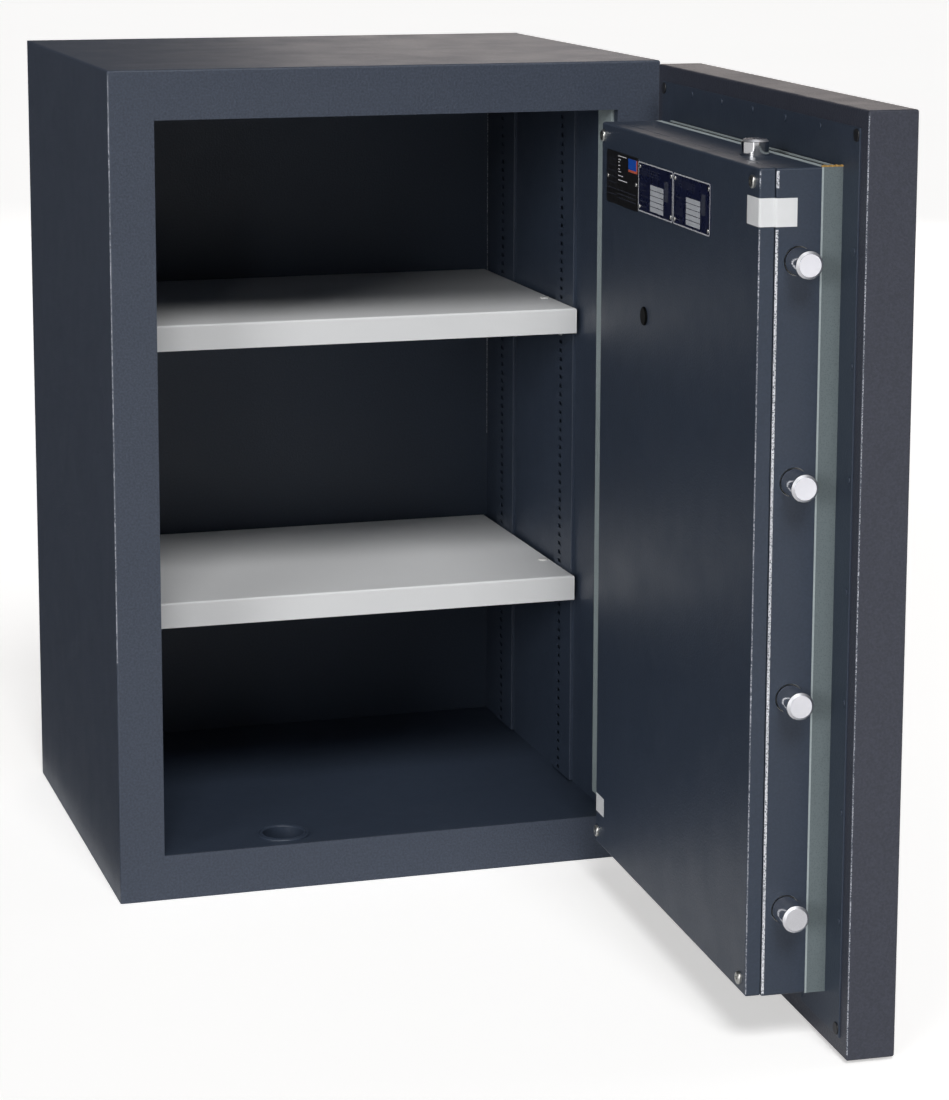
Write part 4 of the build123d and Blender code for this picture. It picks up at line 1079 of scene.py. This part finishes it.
@dataclass
class BoltEnds:
    """Turned faces on the ends of the locking bolts."""

    shop: PaintShop
    hinge: Hinge
    nodes: dict[str, bpy.types.Object]
    count: int = 4
    chamfer: float = 2.5 * MM
    lip: float = 0.15 * MM
    proud: float = 0.12 * MM

    def face(self, bench: Bench, radius: float, matrix: Matrix) -> None:
        """Adds one smooth turned face.

        Args:
            bench: Where the faces are made.
            radius: How far out it reaches.
            matrix: Where it goes, from an upright axis.
        """
        before = set(bench.bm.verts)
        axis = 0.02 * MM
        profile = [
            (radius, -self.proud),
            (radius, self.proud * 0.6),
            (radius - self.lip, self.proud),
            (axis, self.proud),
            (axis, -self.proud),
        ]
        bench.turned(profile, 64, self.shop.material(TURNED_STEEL))
        wide = radius + self.chamfer
        slope = [
            (wide - 0.3 * MM, 0.35 * MM - self.chamfer),
            (radius, self.proud * 0.6),
            (radius, -self.proud),
            (wide - 0.3 * MM, -self.chamfer),
        ]
        bench.turned(slope, 64, self.shop.material(CHAMFER_STEEL))
        made = [vertex for vertex in bench.bm.verts if vertex not in before]
        bmesh.ops.transform(bench.bm, matrix=matrix, verts=made)

    def build(self) -> None:
        """Faces the side bolts and the top bolt."""
        low, high = self.hinge.shut_box(self.nodes["side_bolts"])
        radius = (high.y - low.y) / 2
        pitch = (high.z - low.z - 2 * radius) / (self.count - 1)
        bench = Bench("side_bolt_ends")
        outward = Matrix.Rotation(-pi / 2, 4, "Y")
        for i in range(self.count):
            place = Vector((low.x, (low.y + high.y) / 2, low.z + radius + i * pitch))
            self.face(bench, radius - self.chamfer, Matrix.Translation(place) @ outward)
        bench.hang(self.hinge, Slot.BOLT_CHROME, body=Body.BOLTWORK)
        low, high = self.hinge.shut_box(self.nodes["top_bolt"])
        bench = Bench("top_bolt_end")
        place = Vector(((low.x + high.x) / 2, high.y - radius, high.z))
        self.face(bench, radius - self.chamfer, Matrix.Translation(place))
        bench.hang(self.hinge, Slot.BOLT_CHROME, body=Body.TOP_BOLT)


# ---------------------------------------------------------------- studio


@dataclass
class Studio:
    """The pale floor, the soft lights and the camera."""

    floor_radius: float = 30.0
    eye: tuple[float, float, float] = (-0.89, -3.433, 1.118)
    yaw: float = 17.16
    pitch: float = -9.82
    roll: float = 0.16
    lens: float = 103.25
    drop: float = -0.15
    air_strength: float = 0.06
    floor_glow: Span = (0.06, 0.5)
    panel_glow: float = 0.75

    def stand(self, name: str, bm: BMesh, bench: NodeBench) -> bpy.types.Object:
        """Stands a piece of the studio round the cabinet.

        Args:
            name: What it is called.
            bm: Its mesh.
            bench: Its finish.

        Returns:
            The piece.
        """
        mesh = bpy.data.meshes.new(name)
        bm.to_mesh(mesh)
        bm.free()
        mesh.materials.append(bench.material)
        piece = bpy.data.objects.new(name, mesh)
        bpy.context.scene.collection.objects.link(piece)
        return piece

    def floor(self) -> None:
        """Lays a wide pale floor."""
        bm = bmesh.new()
        bmesh.ops.create_circle(bm, cap_ends=True, segments=96, radius=self.floor_radius)
        bench = NodeBench("studio_floor_pale")
        tone = bench.blend(bench.noise(0.7, 2.0), (0.84, 0.84, 0.84), (0.87, 0.87, 0.87))
        bench.join(tone, bench.shader.inputs["Base Color"])
        bench.shader.inputs["Emission Color"].default_value = (1.0, 0.985, 0.97, 1.0)
        seen = bench.tree.nodes.new("ShaderNodeLightPath").outputs["Is Camera Ray"]
        glow = bench.spread(seen, (0.0, 1.0), self.floor_glow)
        bench.join(glow, bench.shader.inputs["Emission Strength"])
        bench.settle(Roughness=0.9, Specular_IOR_Level=0.2)
        self.stand("studio_floor", bm, bench)

    def softbox(
        self,
        name: str,
        place: tuple[float, float, float],
        size: Span,
        power: float,
        tint: Colour = (1.0, 1.0, 1.0),
    ) -> None:
        """Hangs an area light that faces the middle of the cabinet.

        Args:
            name: What the light is called.
            place: Where it hangs.
            size: Its width and height.
            power: Its power in watts.
            tint: Its colour.
        """
        light = bpy.data.lights.new(name, "AREA")
        light.color = tint
        light.shape = "RECTANGLE"
        light.size, light.size_y = size
        light.energy = power
        holder = bpy.data.objects.new(name, light)
        holder.location = place
        aim = Vector((0.05, -0.2, 0.45)) - Vector(place)
        holder.rotation_euler = aim.to_track_quat("-Z", "Y").to_euler()
        holder.visible_camera = False
        bpy.context.scene.collection.objects.link(holder)

    def sky(self, name: str, azimuth: float, elevation: float, strength: float, softness: float) -> None:
        """Sets a distant soft light, which falls evenly on the whole floor.

        Args:
            name: What the light is called.
            azimuth: How far round from the front it stands, in degrees, to the right.
            elevation: Its height above the floor, in degrees.
            strength: Its light on a face turned towards it.
            softness: How wide it looks, in degrees.
        """
        light = bpy.data.lights.new(name, "SUN")
        light.energy = strength
        light.angle = radians(softness)
        holder = bpy.data.objects.new(name, light)
        flat = cos(radians(elevation))
        turn, rise = radians(azimuth), sin(radians(elevation))
        aim = Vector((-sin(turn) * flat, cos(turn) * flat, -rise))
        holder.rotation_euler = aim.to_track_quat("-Z", "Y").to_euler()
        bpy.context.scene.collection.objects.link(holder)

    def card(self, name: str, bm: BMesh, tone: float, glow: float) -> None:
        """Stands a card that only shows in reflections.

        Args:
            name: What it is called.
            bm: Its mesh.
            tone: How pale it is.
            glow: How much light it gives off.
        """
        bench = NodeBench(f"{name}_tone")
        colour = bench.blend(bench.noise(2.0), (tone,) * 3, (tone * 1.05,) * 3)
        bench.join(colour, bench.shader.inputs["Base Color"])
        bench.shader.inputs["Emission Color"].default_value = (0.97, 0.97, 1.0, 1.0)
        bench.settle(Roughness=0.95, Specular_IOR_Level=0.0, Emission_Strength=glow)
        card = self.stand(name, bm, bench)
        card.visible_camera = card.visible_diffuse = card.visible_shadow = False

    def flag(self) -> None:
        """Stands a black card behind on the left, bent up from the floor."""
        bm = bmesh.new()
        made = bmesh.ops.create_grid(bm, x_segments=1, y_segments=1, size=0.5)["verts"]
        bmesh.ops.scale(bm, vec=(3.2, 2.8, 1.0), verts=made)
        bmesh.ops.translate(bm, vec=(-1.92, 0.8, 0.003), verts=made)
        far = [edge for edge in bm.edges if min(vertex.co.y for vertex in edge.verts) > 2.0]
        grown = bmesh.ops.extrude_edge_only(bm, edges=far)["geom"]
        bmesh.ops.translate(bm, vec=(0.0, 0.0, 3.0), verts=moved(grown))
        self.card("studio_card", bm, tone=0.01, glow=0.0)

    def panel(self) -> None:
        """Stands a white card in front on the right, for the bolt ends."""
        bm = bmesh.new()
        made = bmesh.ops.create_grid(bm, x_segments=1, y_segments=1, size=0.5)["verts"]
        bmesh.ops.scale(bm, vec=(0.7, 0.8, 1.0), verts=made)
        turn = Matrix.Rotation(radians(-20.0), 4, "Z") @ Matrix.Rotation(pi / 2, 4, "X")
        bmesh.ops.transform(bm, matrix=Matrix.Translation((0.78, -1.95, 0.41)) @ turn, verts=made)
        self.card("studio_panel", bm, tone=0.82, glow=self.panel_glow)

    def air(self) -> None:
        """Fills the room with even pale light."""
        world = bpy.data.worlds.new("studio_air")
        world.use_nodes = True
        background = world.node_tree.nodes["Background"]
        background.inputs["Color"].default_value = (0.96, 0.97, 1.0, 1.0)
        background.inputs["Strength"].default_value = self.air_strength
        bpy.context.scene.world = world

    def camera(self) -> None:
        """Sets up the camera."""
        data = bpy.data.cameras.new("studio_camera")
        data.sensor_width = 36.0
        data.lens = self.lens
        data.shift_y = self.drop
        data.clip_end = 200.0
        camera = bpy.data.objects.new("studio_camera", data)
        camera.location = self.eye
        yaw, pitch = radians(self.yaw), radians(self.pitch)
        ahead = Vector((sin(yaw) * cos(pitch), cos(yaw) * cos(pitch), sin(pitch)))
        turn = ahead.to_track_quat("-Z", "Y").to_matrix().to_4x4()
        turn = turn @ Matrix.Rotation(radians(self.roll), 4, "Z")
        camera.rotation_euler = turn.to_euler()
        bpy.context.scene.collection.objects.link(camera)
        bpy.context.scene.camera = camera

    def build(self) -> None:
        """Sets the whole studio."""
        self.floor()
        self.air()
        self.sky("key_light", azimuth=-8.0, elevation=50.0, strength=1.7, softness=24.0)
        self.sky("low_light", azimuth=-50.0, elevation=14.0, strength=0.98, softness=20.0)
        self.softbox("glint_light", (-1.7, -3.4, 1.3), (0.25, 1.8), 4.0)
        self.softbox("back_light", (2.4, 5.0, 1.9), (2.6, 2.4), 30.0, tint=(1.0, 0.9, 0.84))
        self.softbox("side_light", (3.6, -0.6, 2.0), (2.0, 2.0), 18.0)
        self.panel()
        self.flag()
        self.camera()
        scene = bpy.context.scene
        scene.view_settings.view_transform = "Standard"
        LOG.info("studio set")


def main() -> None:
    """Builds the whole scene, in order."""
    logging.basicConfig(level=logging.INFO, format="%(name)s: %(message)s")
    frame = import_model()
    shop = PaintShop()
    hinge = Hinge()
    nodes = frame["nodes"]
    shop.dress_nodes(nodes)
    CabinetFittings(shop).build()
    DoorFittings(shop, hinge, nodes).build()
    PlateDressing(shop, hinge, nodes).build()
    BoltEnds(shop, hinge, nodes).build()
    Studio().build()


if __name__ == "__main__":
    main()
